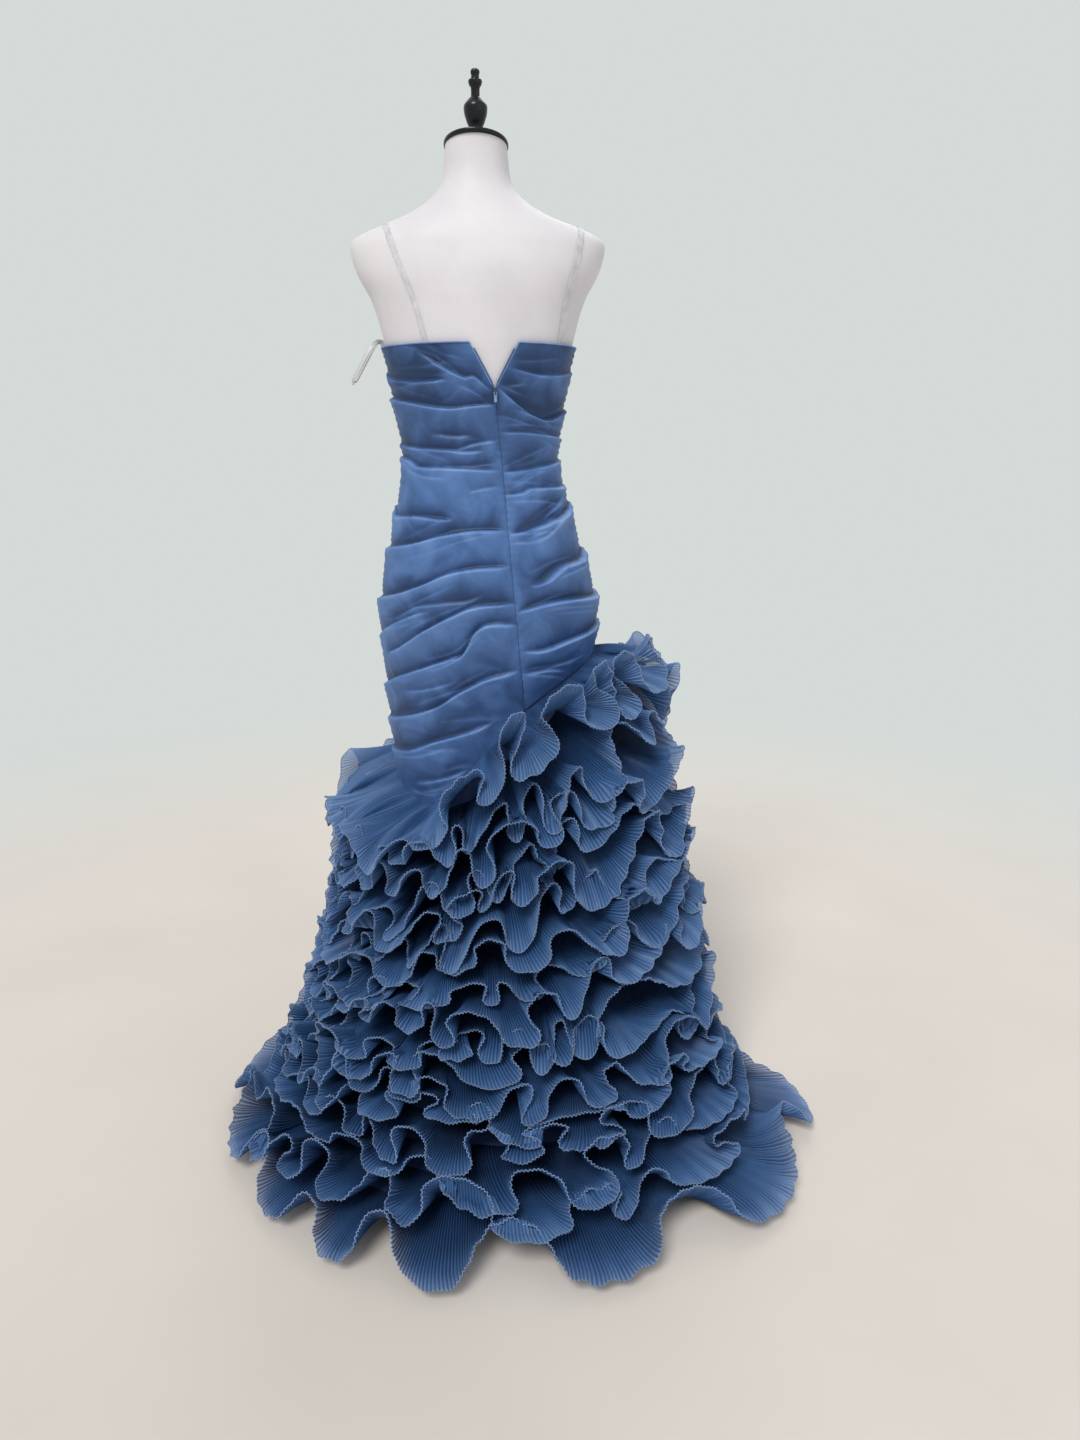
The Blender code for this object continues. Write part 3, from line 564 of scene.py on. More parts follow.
frontTucks = [
    (4.0, 18, [(90, 1.150), (135, 1.140), (180, 1.134), (225, 1.143), (270, 1.150)]),
    (2.4, 12, [(120, 1.116), (160, 1.106), (205, 1.112)]),
    (5.0, 22, [(90, 1.096), (140, 1.077), (190, 1.072), (235, 1.090), (270, 1.113)]),
    (3.0, 14, [(90, 1.052), (122, 1.043), (152, 1.040)]),
    (2.6, 12, [(190, 1.046), (235, 1.042), (270, 1.046)]),
    (4.6, 20, [(90, 1.020), (135, 1.012), (180, 1.008), (225, 1.016), (270, 1.026)]),
    (3.0, 14, [(90, 0.982), (125, 0.984), (165, 0.990)]),
    (5.6, 24, [(90, 0.956), (135, 0.950), (180, 0.946), (225, 0.949), (270, 0.950)]),
    (2.6, 14, [(185, 0.916), (230, 0.922), (262, 0.930)]),
    (6.4, 28, [(90, 0.884), (135, 0.880), (180, 0.876), (225, 0.880), (270, 0.884)]),
    (7.0, 30, [(90, 0.812), (135, 0.824), (180, 0.823), (225, 0.815), (270, 0.803)]),
    (3.0, 14, [(110, 0.792), (150, 0.786), (190, 0.793)]),
    (6.0, 26, [(90, 0.768), (135, 0.764), (180, 0.757), (225, 0.748), (270, 0.736)]),
    (5.4, 24, [(100, 0.730), (135, 0.722), (180, 0.702), (225, 0.680), (270, 0.656)]),
    (4.6, 22, [(205, 0.640), (240, 0.622), (270, 0.606)]),
    (3.8, 18, [(228, 0.586), (250, 0.570), (270, 0.556)]),
]


# edges: which end of the panel, its seam, then the depth and reach of its puckers in mm.
# rolled: the end of the top edge where the rolled hem turns down into the notch
panels = [
    {"name": "sheath_back_left", "node": "back_panel_left", "tucks": leftTucks, "width": 0.265,
     "edges": [(0, "left", 1.4, 16), (1, "zip", 0.5, 5)], "seed": 11, "rolled": "right"},
    {"name": "sheath_back_right", "node": "back_panel_right", "tucks": rightTucks,
     "width": 0.190, "edges": [(1, "right", 1.4, 16), (0, "zip", 0.5, 5)], "seed": 12,
     "rolled": "left"},
    {"name": "sheath_front", "node": "front_panel", "tucks": frontTucks, "width": 0.44,
     "edges": [(0, "right", 1.4, 16), (1, "left", 1.4, 16)], "seed": 13, "rolled": None},
]


def centreX(z):
    share = (sheath["notchZ"] - z) / (sheath["notchZ"] - sheath["zipEndZ"])
    return sheath["zipX"][0] + share * (sheath["zipX"][1] - sheath["zipX"][0])


def edgeAngle(z, side):
    # inner edge of a back panel; side is -1 for left, 1 for right
    above = np.maximum(0, (z - sheath["notchZ"]) / (sheath["topEdgeZ"] - sheath["notchZ"]))
    x = centreX(np.minimum(z, sheath["notchZ"])) - bodyRead("shift", z)
    x = x + side * (above * sheath["notchHalf"] + sheath["seamGap"])
    depth = bodyRead("back", z) + sheath["clear"]
    width = bodyRead("half", z) + sheath["clear"]
    return np.degrees(np.arctan2(x, depth * np.sqrt(1 - (x / width) ** 2)))


def tuckRelief(angle, z, tucks):
    # how far tucks stand out in metres, and the painted light and shade at each place of them
    relief = np.zeros(np.broadcast(angle, z).shape)
    shade = np.zeros_like(relief)
    early, over, power = tuck["fade"]
    for depth, tail, points in tucks:
        points = sorted(points)
        keys = [p[0] for p in points]
        line = cubicRead(keys, [p[1] for p in points], angle)
        below = (line - z) * 1000
        fade = np.ones_like(relief)
        for end, side in ((keys[0], 1), (keys[-1], -1)):
            # ends at a side seam, which is at 90 and at 270 degrees, don't fade
            if abs(end) < 88 or 92 < end < 268:
                fade = fade * np.clip(((angle - end) * side + early) / over, 0, 1) ** power
        lip = 1 / (1 + np.exp(-np.clip(below / tuck["lipMm"], -30, 30)))
        slope = np.exp(-np.maximum(below, 0) / tail)
        hollow = tuck["hollow"] * np.exp(np.minimum(below, 0) / tuck["hollowMm"]) * (1 - lip)
        relief += fade * tuck["gain"] * depth / 1000 * (lip * slope + hollow)
        # painted highlight on the turned edge, painted light below it and painted shade in the
        # hollow above it
        strength = fade * min(1, depth / tuck["shadedMm"])
        size, place, width = tuck["edgeHighlight"]
        edgeHighlight = size * np.exp(-((below - place) / width) ** 2)
        size, length = tuck["lit"]
        shade += strength * (edgeHighlight + size * lip * np.exp(-np.maximum(below, 0) / length))
        size, length = tuck["dark"]
        shade -= strength * size * (1 - lip) * np.exp(np.minimum(below, 0) / length)
    return relief, np.clip(shade, sheath["darkest"], sheath["palest"])


def smallCreases(seed, low, high, tucks):
    # each follows the line of one of the tucks, a little way off it
    dice = random.Random(seed)
    made = []
    while len(made) < crease["count"]:
        points = sorted(dice.choice(tucks)[2])
        middle = dice.uniform(low, high)
        span = dice.uniform(*crease["span"])
        drop = dice.uniform(-crease["drop"], crease["drop"])
        tilt = dice.uniform(-crease["tilt"], crease["tilt"])
        keys = [middle - span, middle, middle + span]
        if keys[0] < low or keys[2] > high or not points[0][0] < middle < points[-1][0]:
            continue
        heights = np.interp(keys, [p[0] for p in points], [p[1] for p in points])
        made.append((dice.uniform(*crease["depth"]), dice.uniform(*crease["tail"]),
                     [(k, h + drop + tilt * (k - middle)) for k, h in zip(keys, heights)]))
    return made


def makePanel(panel, angleAt, topLine):
    # ruched panel: t runs across it and w from the top to the ruffle seam
    name, tucks, width, rolled = [panel[key] for key in ("name", "tucks", "width", "rolled")]
    columns = int(width / sheath["columnStep"])
    rows = int(sheath["height"] / sheath["rowStep"])
    t = np.linspace(0, 1, columns)[None, :]
    w = np.linspace(0, 1, rows)[:, None]
    top = topLine(t)
    bottom = seamZ(angleAt(t, sheath["lowZ"] + 0 * t)) - sheath["overlap"]
    z = top + (bottom - top) * w
    angle = angleAt(t, z)
    low, high = float(angle.min()), float(angle.max())
    creases = smallCreases(panel["seed"], low, high, tucks)
    relief, shade = tuckRelief(angle, z, tucks + creases)
    fromTop = (top - z) * 1000
    relief = (relief * np.clip(fromTop / edging["topMm"], 0, 1)
              * np.clip((z - bottom) / edging["bottom"], 0, 1))
    radius = bodyRadius(angle, z)
    for end, seam, depth, reach in panel["edges"]:
        # puckers where the ruching is gathered into a seam, and the seam pulls the cloth in
        away = np.abs(angle - angleAt(end + 0 * t, z))
        away = np.radians(away) * radius * 1000
        if seam != "zip":
            # both panels of a side seam stand out equally along it
            atRight = seam == "right"
            facing, besides = (90, 90) if atRight else (270, -90)
            front = tuckRelief(facing + 0 * z, z, frontTucks)[0]
            back = tuckRelief(besides + 0 * z, z, rightTucks if atRight else leftTucks)[0]
            least, most, length = edging["shared"]
            shared = np.clip((front + back) / 2, least, most)
            relief += (shared - relief) * np.exp(-away / length)
        else:
            # the zip's stitching holds the tucks down, most of all round the slider
            place, height = edging["slider"]
            slider = np.clip(1 - np.abs(z - place) / height, 0, 1) ** 0.5
            size, more, length, further = edging["held"]
            relief *= 1 - (size + more * slider) * np.exp(
                -(away / (length + further * slider)) ** 2)
        length, size, beat, smaller, quicker = edging["pucker"]
        ripple = np.sin(z * 1000 * 2 * math.pi / length + size * np.sin(z * beat)
                        + smaller * np.sin(z * quicker))
        relief += depth * ripple * np.exp(-away / reach) / 1000
        relief *= 1 - edging["flat"][0] * np.exp(-away / edging["flat"][1])
        relief -= edging["sunk"][0] * np.exp(-away / edging["sunk"][1])
    relief = relief + edging["lip"][0] * np.clip(1 - fromTop / edging["lip"][1], 0, 1)
    grid = bodyPoint(angle, z, sheath["clear"] + np.maximum(relief, sheath["deepest"]))
    made = gridPiece(name, grid, looks["sheath"],
                     across=np.linspace(0, width, columns),
                     along=np.linspace(0, sheath["height"], rows))
    # painted light and shade by height, with its own column for the sides, and more painted shade
    # in the bodice's hollows, added to that of the tucks
    least, over = sheath["turned"]
    turned = np.clip((np.abs(np.sin(np.radians(angle))) - least) / over, 0, 1)
    middle, flank = [cubicRead(sheath["shade"]["z"], sheath["shade"][column], z)
                     for column in ("middle", "sides")]
    least, over = sheath["hollowZ"]
    hollows = (sheath["hollowShade"] * np.clip((z - least) / over, 0, 1)
               * np.clip(0.5 - shade, 0, 1))
    addValues(made, "foldShade", np.clip(shade + middle + (flank - middle) * turned - hollows,
                                         sheath["darkest"], sheath["palest"]))
    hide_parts(panel["node"])
    path = grid[0]
    rolledRows = int(sheath["rollDown"] / sheath["rowStep"])
    if rolled == "right":
        path = np.concatenate([path, grid[1:rolledRows, -1]], 0)
    if rolled == "left":
        path = np.concatenate([grid[rolledRows:0:-1, 0], path], 0)
    edgeRoll = tubePiece(name + "_rolled_edge", path, sheath["edgeRoll"], looks["sheath"])
    # the rolled edge is painted pale all along, as a painted highlight
    addValues(edgeRoll, "foldShade", np.full(len(edgeRoll.data.vertices), sheath["edgePale"]))


def makeSheath():
    sideGap = math.degrees(sheath["seamGap"] / sheath["sideRadius"])
    topZ = sheath["topEdgeZ"]

    def leftAngle(t, z):
        return -90 + sideGap + t * (edgeAngle(z, -1) + 90 - sideGap)

    def rightAngle(t, z):
        inner = edgeAngle(z, 1)
        return inner + t * (90 - sideGap - inner)

    def frontAngle(t, z):
        return 90 + sideGap + t * (180 - 2 * sideGap) + 0 * z

    makePanel(panels[0], leftAngle, lambda t: topZ - sheath["backDrop"] * (1 - t) ** 2)
    makePanel(panels[1], rightAngle, lambda t: topZ - sheath["backDrop"] * t ** 2)
    makePanel(panels[2], frontAngle,
              lambda t: topZ + sheath["frontRise"] - sheath["frontDrop"] * (2 * t - 1) ** 2)
    print("sheath made")


skirt = {
    "seamAngle": [-180, -135, -90, -62, -38, 5, 38, 90, 135, 180],
    "seamZ": [0.640, 0.575, 0.530, 0.497, 0.492, 0.588, 0.660, 0.730, 0.700, 0.640],
    "hemAngle": [-180, -125, -90, -67, -43, -28, 0, 14, 28, 41, 56, 75, 92, 125, 180],
    "hemRadius": [0.295, 0.308, 0.350, 0.435, 0.505, 0.548, 0.588, 0.602, 0.598, 0.588,
                  0.570, 0.490, 0.398, 0.322, 0.295],
    "tuckedUnder": 0.0035,    # the profile starts this far below the seam
    "clear": 0.0006,
    "floorZ": 0.0030,
    "reach": 0.030,           # the profile ends this far short of the hem's radius
    # the trumpet's upper bend: share of the way out and an addition to it, share of the height,
    # and what the sides bulge more
    "upperOut": 0.1,
    "upperAdd": 0.008,
    "upperHigh": 0.52,
    "sideBulge": 0.034,
    # its lower bend: share of the way out, less of it at the sides, and share of their bulge
    "lowerOut": 0.50,
    "lowerSide": 0.20,
    "lowerBulge": 0.4,
    "rise": 0.15,             # widening of what stands above the seam
    "degrees": 2.0,           # the profile is tabled this far apart round the skirt,
    "shares": 120,            # in this many steps down it,
    "curveSteps": 160,        # and drawn in this many
    "liningEnd": 0.915,       # share of the profile where the underskirt's shell ends
    "liningRows": 80,
    "liningStep": 1.5,
    "liningRipple": (23, 1.5, 5, -0.007),  # waves round, then stray, its beat, and depth
    "liningSwell": (1.1, 0.7),  # how the ripple grows and dies down the profile
    "liningFlatFrom": 0.72,
    "liningLowest": 0.0012,
}
ruffles = {
    "spacing": 0.107,         # between two seams, as a share of the skirt's profile
    "hang": 0.0023,
    "columnStep": 0.0028,     # half a pleat: the pleats are 5.6 mm apart
    "pleatDepth": 0.0013,
    "pleatAtSeam": 0.35,      # share of that depth at the seam
    "rows": 11,
    "samples": 160,           # of each fold, for the length along the hem
    "hemRadius": 0.00085,
    "flutter": 0.0026,
    "flutterLength": 0.034,
    "flutterStray": (2.5, 9.0, 1.5, 23.0),  # size and beat of two strays along the hem
    "flutterSwell": (0.5, 14.0),
    "flutterAlong": 0.7,
    "apart": 0.004,           # between a tier and those under it
    "wander": 0.012,          # how far the seams stray up and down, as a share
    "wanderMore": (0.7, 2.6),  # a second, quicker stray: its size and its start for each strip
    "sway": 0.12,             # long swells of the hem
    "swayStart": 4.1,
    "pullCurve": 1.25,        # how late a fold's sideways stray grows from the seam to the hem
    "reachUnit": 0.083,
    "fullReachLength": 0.66,  # a shorter profile reaches less
    "leastCurl": 0.04,
    "floorShare": 1.045,      # past this share a hem on the floor gains only part of its run
    "floorSlow": 0.45,
    "lowest": 0.0014,
    # how pale the pleats are painted, from painted shade to painted light: at the seam, added to
    # the hem, its curve, the last rows, the pleat lines, and for the first strip overall and at its
    # seam
    "pale": {"seam": 0.02, "hem": 0.56, "curve": 1.8, "last": 0.20, "lines": 0.19,
             "first": 0.06, "firstSeam": 0.34},
    "soonerFrom": 0.74,       # lower strips lie open on the floor and are painted paler sooner
    "soonerOver": 0.12,
    "soonerCurve": 0.9,
    "measureDown": 0.06,      # the folds are measured this far below the seam,
    "measureMost": 0.97,      # but not beyond this share
    "edgeSeed": 40,
    "foldSeed": 600,
    "foldWidth": (0.62, 1.42),
    # looser or closer folds: strips whose share is in these limits, change, centre, half width
    "crowding": [(0, 1, -0.14, -8, 34), (0.15, 1, 0.62, 62, 38), (0, 0.15, -0.34, 76, 30),
                 (0, 1, 0.30, -98, 28)],
    "hemEdges": (-77, -54, -37, -22, -10, 11, 36, 60, 84),  # where the lowest tier's fans start
    "hemClear": 8,            # degrees from those that its other folds keep away
    # how unlike each other folds are: as a share of the strip's value, then as plain limits
    "spreads": (("downReach", 0.22), ("downRun", 0.17), ("upReach", 0.28), ("upRun", 0.38)),
    "limits": (("balance", 0.38, 0.64), ("tight", 1.20, 2.02), ("lean", -0.35, 0.35),
               ("skew", -0.42, 0.42), ("downCurl", 0.0, 1.1), ("upCurl", -1.5, -0.1)),
    # where strips differ: first and last strip, value, how it changes, centre and half width
    "changes": [
        (0, 11, "downReach", "scale", 0.15, 64, 38),
        (0, 11, "tight", "add", -0.35, 64, 38),
        (0, 11, "upReach", "scale", 0.25, 64, 38),
        (1, 1, "downReach", "scale", 0.30, 70, 40),
        (1, 1, "upReach", "scale", 0.30, 70, 40),
        (16, 16, "tight", "add", -0.42, 30, 70),
        (16, 16, "lean", "scale", -0.75, 0, 1e9),
        (16, 16, "skew", "scale", -0.5, 0, 1e9),
        (16, 16, "upRun", "scale", -0.10, 0, 1e9),
        (16, 16, "downRun", "scale", 0.24, 12, 50),
        (16, 16, "balance", "towards", 0.60, 24, 14),
    ],
    # the first strip has wide fans at the left of the back and tall curls that stand up at the
    # right: value, in the fans, in the curls
    "fans": (("upRun", 1.10, -0.52), ("downRun", 1.45, 0.64), ("upReach", 1.5, 1.05),
             ("downReach", 1.6, 1.40), ("tight", 1.2, 1.98), ("upCurl", -0.5, -1.9)),
    "fanPlace": (-64, 34, 0.8),
    "curlPlace": (54, 62, 1.7, 0.95),
    "curlEnd": (98, 32, 0.40),  # and are less tall where they end
    "mapCells": (900, 400),   # of the map of what lies below: round the skirt and down it
    "mapShare": 1.2,          # share of the profile that the map goes down to
    # CAD node and layer, seam's share of the profile, fold length, then where the hem is at
    # hanging and at standing folds: reach out, and run down in spacings
    "strips": [
        {"node": n, "layer": k, "share": s, "fold": f, "downReach": a, "downRun": b,
         "upReach": c, "upRun": d}
        for n, k, s, f, a, b, c, d in (
            (1, "over", 0.008, 0.066, 1.25, 1.60, 1.40, 0.80),
            (1, "under", 0.058, 0.054, 1.04, 1.26, 1.06, 0.46),
            (2, "over", 0.112, 0.060, 1.16, 1.36, 1.20, 0.56),
            (2, "under", 0.165, 0.056, 1.02, 1.36, 1.04, 0.56),
            (3, "over", 0.222, 0.060, 1.14, 1.36, 1.18, 0.56),
            (3, "under", 0.276, 0.056, 1.02, 1.36, 1.04, 0.56),
            (4, "over", 0.330, 0.062, 1.12, 1.36, 1.16, 0.58),
            (4, "under", 0.384, 0.058, 1.00, 1.36, 1.04, 0.58),
            (5, "over", 0.438, 0.066, 1.12, 1.36, 1.14, 0.58),
            (5, "under", 0.492, 0.062, 1.00, 1.36, 1.02, 0.60),
            (6, "over", 0.546, 0.070, 1.06, 1.38, 1.12, 0.62),
            (6, "under", 0.600, 0.066, 0.96, 1.38, 0.98, 0.62),
            (7, "over", 0.654, 0.076, 1.00, 1.42, 1.08, 0.66),
            (7, "under", 0.707, 0.074, 0.88, 1.44, 0.96, 0.72),
            (8, "over", 0.760, 0.088, 0.82, 1.52, 1.00, 0.82),
            (8, "under", 0.812, 0.084, 0.50, 1.66, 0.90, 0.96),
            (9, "over", 0.866, 0.136, 0.16, 1.96, 0.80, 1.18))],
}


def seamZ(angle):
    return cubicRead(skirt["seamAngle"], skirt["seamZ"], wrap(angle))


def profileTable(angles):
    # skirt profile at each angle: radius, height and outward normal by share
    shares = np.linspace(0, 1, skirt["shares"] + 1)
    t = np.linspace(0, 1, skirt["curveSteps"] + 1)
    weights = [(1 - t) ** 3, 3 * t * (1 - t) ** 2, 3 * t * t * (1 - t), t**3]
    table, totals = [], []
    for angle in angles:
        topZ = float(seamZ(angle)) - skirt["tuckedUnder"]
        start = float(bodyRadius(angle, topZ)) + skirt["clear"]
        end = float(cubicRead(skirt["hemAngle"], skirt["hemRadius"], angle)) - skirt["reach"]
        sideways = math.sin(math.radians(angle)) ** 2
        bulge = skirt["sideBulge"] * sideways
        lower = skirt["lowerOut"] - skirt["lowerSide"] * sideways
        floorZ = skirt["floorZ"]
        bends = [(start, topZ),
                 (start + skirt["upperOut"] * (end - start) + skirt["upperAdd"] + bulge,
                  topZ * skirt["upperHigh"]),
                 (start + lower * (end - start) + skirt["lowerBulge"] * bulge, floorZ),
                 (end, floorZ)]
        r, z = [sum(weight * bend[k] for weight, bend in zip(weights, bends)) for k in (0, 1)]
        runs = np.concatenate([[0], np.cumsum(np.hypot(np.diff(r), np.diff(z)))])
        r, z = [np.interp(shares * runs[-1], runs, values) for values in (r, z)]
        dr, dz = np.gradient(r), np.gradient(z)
        size = np.hypot(dr, dz)
        table.append(np.stack([r, z, -dz / size, dr / size], -1))
        totals.append(runs[-1])
    return np.array(table), np.array(totals)


profileAngles = np.arange(-180.0, 181.0, skirt["degrees"])
profiles, profileTotals = profileTable(profileAngles)


def skirtTotal(angle):
    return np.interp(wrap(angle), profileAngles, profileTotals)


def skirtPoint(angle, share, out):
    at = (wrap(angle) + 180) / skirt["degrees"]
    i = np.clip(at.astype(int), 0, len(profileAngles) - 2)
    f = (at - i)[..., None]
    row = np.clip(share, 0, 1) * skirt["shares"]
    j = np.clip(row.astype(int), 0, skirt["shares"] - 1)
    g = (row - j)[..., None]
    low = profiles[i, j] * (1 - f) + profiles[i + 1, j] * f
    high = profiles[i, j + 1] * (1 - f) + profiles[i + 1, j + 1] * f
    r, z, nr, nz = np.moveaxis(low * (1 - g) + high * g, -1, 0)
    above = np.maximum(-share, 0) * skirtTotal(angle)
    r = r + np.maximum(share - 1, 0) * skirtTotal(angle) + nr * out + skirt["rise"] * above
    turn = np.radians(angle)
    shift = bodyRead("shift", seamZ(angle)) * (1 - np.clip(share, 0, 1))
    return np.stack([shift + r * np.sin(turn), -r * np.cos(turn), z + nz * out + above], -1)


def makeUnderskirt():
    angles = np.arange(-180.0, 180.0, skirt["liningStep"])[None, :]
    shares = np.linspace(0, skirt["liningEnd"], skirt["liningRows"])[:, None]
    waves, stray, beat, depth = skirt["liningRipple"]
    ripple = np.sin(np.radians(angles) * waves + stray * np.sin(np.radians(angles) * beat))
    reach, power = skirt["liningSwell"]
    swell = np.sin(np.pi * np.clip(shares * reach, 0, 1)) ** power
    sink = (0.5 + 0.5 * ripple) * depth * swell
    lift = np.where(shares > skirt["liningFlatFrom"], 0.0, 1.0)
    grid = skirtPoint(angles + 0 * shares, shares + 0 * angles, sink * lift)
    grid[..., 2] = np.maximum(grid[..., 2], skirt["liningLowest"])
    hemLength = runLength(grid[-1]) * 1.01   # the last step closes the ring
    depth = float(profileTotals.max())
    made = gridPiece("underskirt_shell", grid, looks["lining"], closed=True,
                     across=np.linspace(0, hemLength, grid.shape[1] + 1),
                     along=np.linspace(0, depth, skirt["liningRows"]))
    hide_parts("underskirt")


def hill(angle, centre, half):
    # 1 at the centre, falling to nothing a little past half to each side
    return np.exp(-(wrap(angle - centre) / half) ** 4)


def foldEdges(share, fold, seed):
    # uneven steps round the skirt that close the ring, as angles
    dice = random.Random(seed)
    turns = np.arange(73) * 5.0
    around = runLength(skirtPoint(turns, share + 0 * turns, 0 * turns))
    edges = [dice.uniform(0, 30)]
    while edges[-1] < edges[0] + 360:
        crowd = 1
        for least, most, change, centre, half in ruffles["crowding"]:
            if least < share <= most:
                crowd += change * hill(edges[-1], centre, half)
        edges.append(edges[-1] + 360 * fold / around * crowd
                     * dice.uniform(*ruffles["foldWidth"]))
    edges = np.array(edges)
    return edges[0] + (edges - edges[0]) * 360 / (edges[-1] - edges[0])


def placeEdges(edges, fixed):
    # folds that lie at set places, with the uneven ones kept everywhere else
    clear = ruffles["hemClear"]
    kept = [e % 360 for e in edges[:-1] if not fixed[0] - clear < wrap(e) < fixed[-1] + clear]
    whole = sorted(kept + [e % 360 for e in fixed])
    return np.array(whole + [whole[0] + 360])


def lobeValues(values, u):
    # value of the nearest folds at fold number u, round the ring
    count = len(values)
    ring = np.concatenate([values[-1:], values, values[:1]])
    return np.interp(u, np.arange(-1, count + 1) + 0.5, ring)


# loops that a hem is laid in, tabled by how tight they are: open waves to round curls
loops = {
    "open": 0.8,
    "curled": 2.1,
    "step": 0.05,
    "rows": 27,
    "columns": 401,
}


def meanderTable():
    # sideways stray and height along one loop, by tightness
    tight = np.linspace(loops["open"], loops["curled"], loops["rows"])[:, None]
    along = np.linspace(0, 1, loops["columns"])
    heading = tight * np.cos(2 * np.pi * along)[None, :]
    stray, height = np.cos(heading), np.sin(heading)
    for part in (stray, height):
        part[:] = np.cumsum((part + np.roll(part, 1, 1)) / 2, 1) - part[:, :1]
    stray = (stray - stray[:, :1]) / (stray[:, -1:] - stray[:, :1]) - along
    low, high = height.min(1)[:, None], height.max(1)[:, None]
    return stray, (height - low) / (high - low)


strayTable, heightTable = meanderTable()


def meander(tight, phase):
    row = np.clip((tight - loops["open"]) / loops["step"], 0, loops["rows"] - 1.01)
    column = np.clip(phase, 0, 1) * (loops["columns"] - 1.01)
    i, j = row.astype(int), column.astype(int)
    f, g = row - i, column - j
    return [(t[i, j] * (1 - f) + t[i + 1, j] * f) * (1 - g)
            + (t[i, j + 1] * (1 - f) + t[i + 1, j + 1] * f) * g
            for t in (strayTable, heightTable)]


def stripShape(number, strip, u, v, folds):
    # angle, share and reach of a strip at fold numbers u and widths v
    j = np.clip(u.astype(int), 0, len(folds["edges"]) - 2)
    phase = u - j
    middle = lobeValues(folds["balance"], u)
    phase = np.where(phase < middle, 0.5 * phase / middle,
                     0.5 + 0.5 * (phase - middle) / (1 - middle))
    span = np.diff(folds["edges"])
    straight = folds["edges"][j] + span[j] * (u - j)
    stray, hanging = meander(lobeValues(folds["tight"], u), phase)
    pull = stray + lobeValues(folds["lean"], u) + lobeValues(folds["skew"], u) * (hanging - 0.5)
    angle = straight + pull * lobeValues(span, u) * v ** ruffles["pullCurve"]
    total = skirtTotal(angle)
    turn = np.radians(straight)
    seamBeat, quickBeat, hemBeat = folds["beats"]
    hem = {}
    narrow = np.minimum(1, total / ruffles["fullReachLength"])
    for key, size in (("Reach", ruffles["reachUnit"] * narrow),
                      ("Run", ruffles["spacing"] * total)):
        low = lobeValues(folds["up" + key], u)
        high = lobeValues(folds["down" + key], u)
        hem[key] = (low + (high - low) * hanging) * size
    hem["Run"] = hem["Run"] * (1 + ruffles["sway"] * np.sin(
        turn * hemBeat + ruffles["swayStart"] * number))
    curl = (lobeValues(folds["downCurl"], u) * hanging
            + lobeValues(folds["upCurl"], u) * (1 - hanging))
    curl = np.where(np.abs(curl) < ruffles["leastCurl"], ruffles["leastCurl"], curl)
    width = np.hypot(hem["Reach"], hem["Run"]) * (curl / 2) / np.sin(curl / 2)
    top = np.arctan2(hem["Reach"], hem["Run"]) + curl / 2
    out = ruffles["hang"] + width * (np.cos(top - curl * v) - np.cos(top)) / curl
    run = width * (np.sin(top) - np.sin(top - curl * v)) / curl
    size, start = ruffles["wanderMore"]
    wander = (np.sin(turn * seamBeat + number)
              + size * np.sin(turn * quickBeat + start * number))
    share = strip["share"] + (ruffles["wander"] * wander if number else 0) + run / total
    floorShare = ruffles["floorShare"]
    share = np.where(share > floorShare,
                     floorShare + (share - floorShare) * ruffles["floorSlow"], share)
    return angle, share, np.maximum(out, ruffles["hang"])


def makeFolds(number, strip):
    edges = foldEdges(min(strip["share"] + ruffles["measureDown"], ruffles["measureMost"]),
                      strip["fold"], ruffles["edgeSeed"] + number)
    if strip["node"] == 9:
        edges = placeEdges(edges, ruffles["hemEdges"])
    count = len(edges) - 1
    own = random.Random(ruffles["foldSeed"] + number)
    folds = {"edges": edges,
             "beats": [own.choice(beats) for beats in ((3, 4, 5), (7, 8, 9), (5, 6, 7))]}
    for key, spread in ruffles["spreads"]:
        folds[key] = np.array([strip[key] * own.uniform(1 - spread, 1 + spread)
                               for _ in range(count)])
    for key, least, most in ruffles["limits"]:
        folds[key] = np.array([own.uniform(least, most) for _ in range(count)])
    centre = (edges[:-1] + edges[1:]) / 2
    for first, last, key, how, amount, place, half in ruffles["changes"]:
        if first <= number <= last:
            near = hill(centre, place, half)
            folds[key] = {"scale": folds[key] * (1 + amount * near),
                          "add": folds[key] + amount * near,
                          "towards": folds[key] + (amount - folds[key]) * near}[how]
    if number == 0:
        place, half, strength = ruffles["fanPlace"]
        fans = hill(centre, place, half)
        place, half, gain, most = ruffles["curlPlace"]
        curled = np.minimum(most, gain * hill(centre, place, half))
        for key, fan, curls in ruffles["fans"]:
            folds[key] += (fan - folds[key]) * fans * strength
            folds[key] += (curls - folds[key]) * curled
        place, half, change = ruffles["curlEnd"]
        folds["upRun"] += change * hill(centre, place, half)
    return folds


def mapCell(reachMap, angle, share):
    rows, columns = reachMap.shape
    i = ((wrap(angle) + 180) / 360 * rows).astype(int) % rows
    return i, np.clip((share / ruffles["mapShare"] * columns).astype(int), 0, columns - 1)


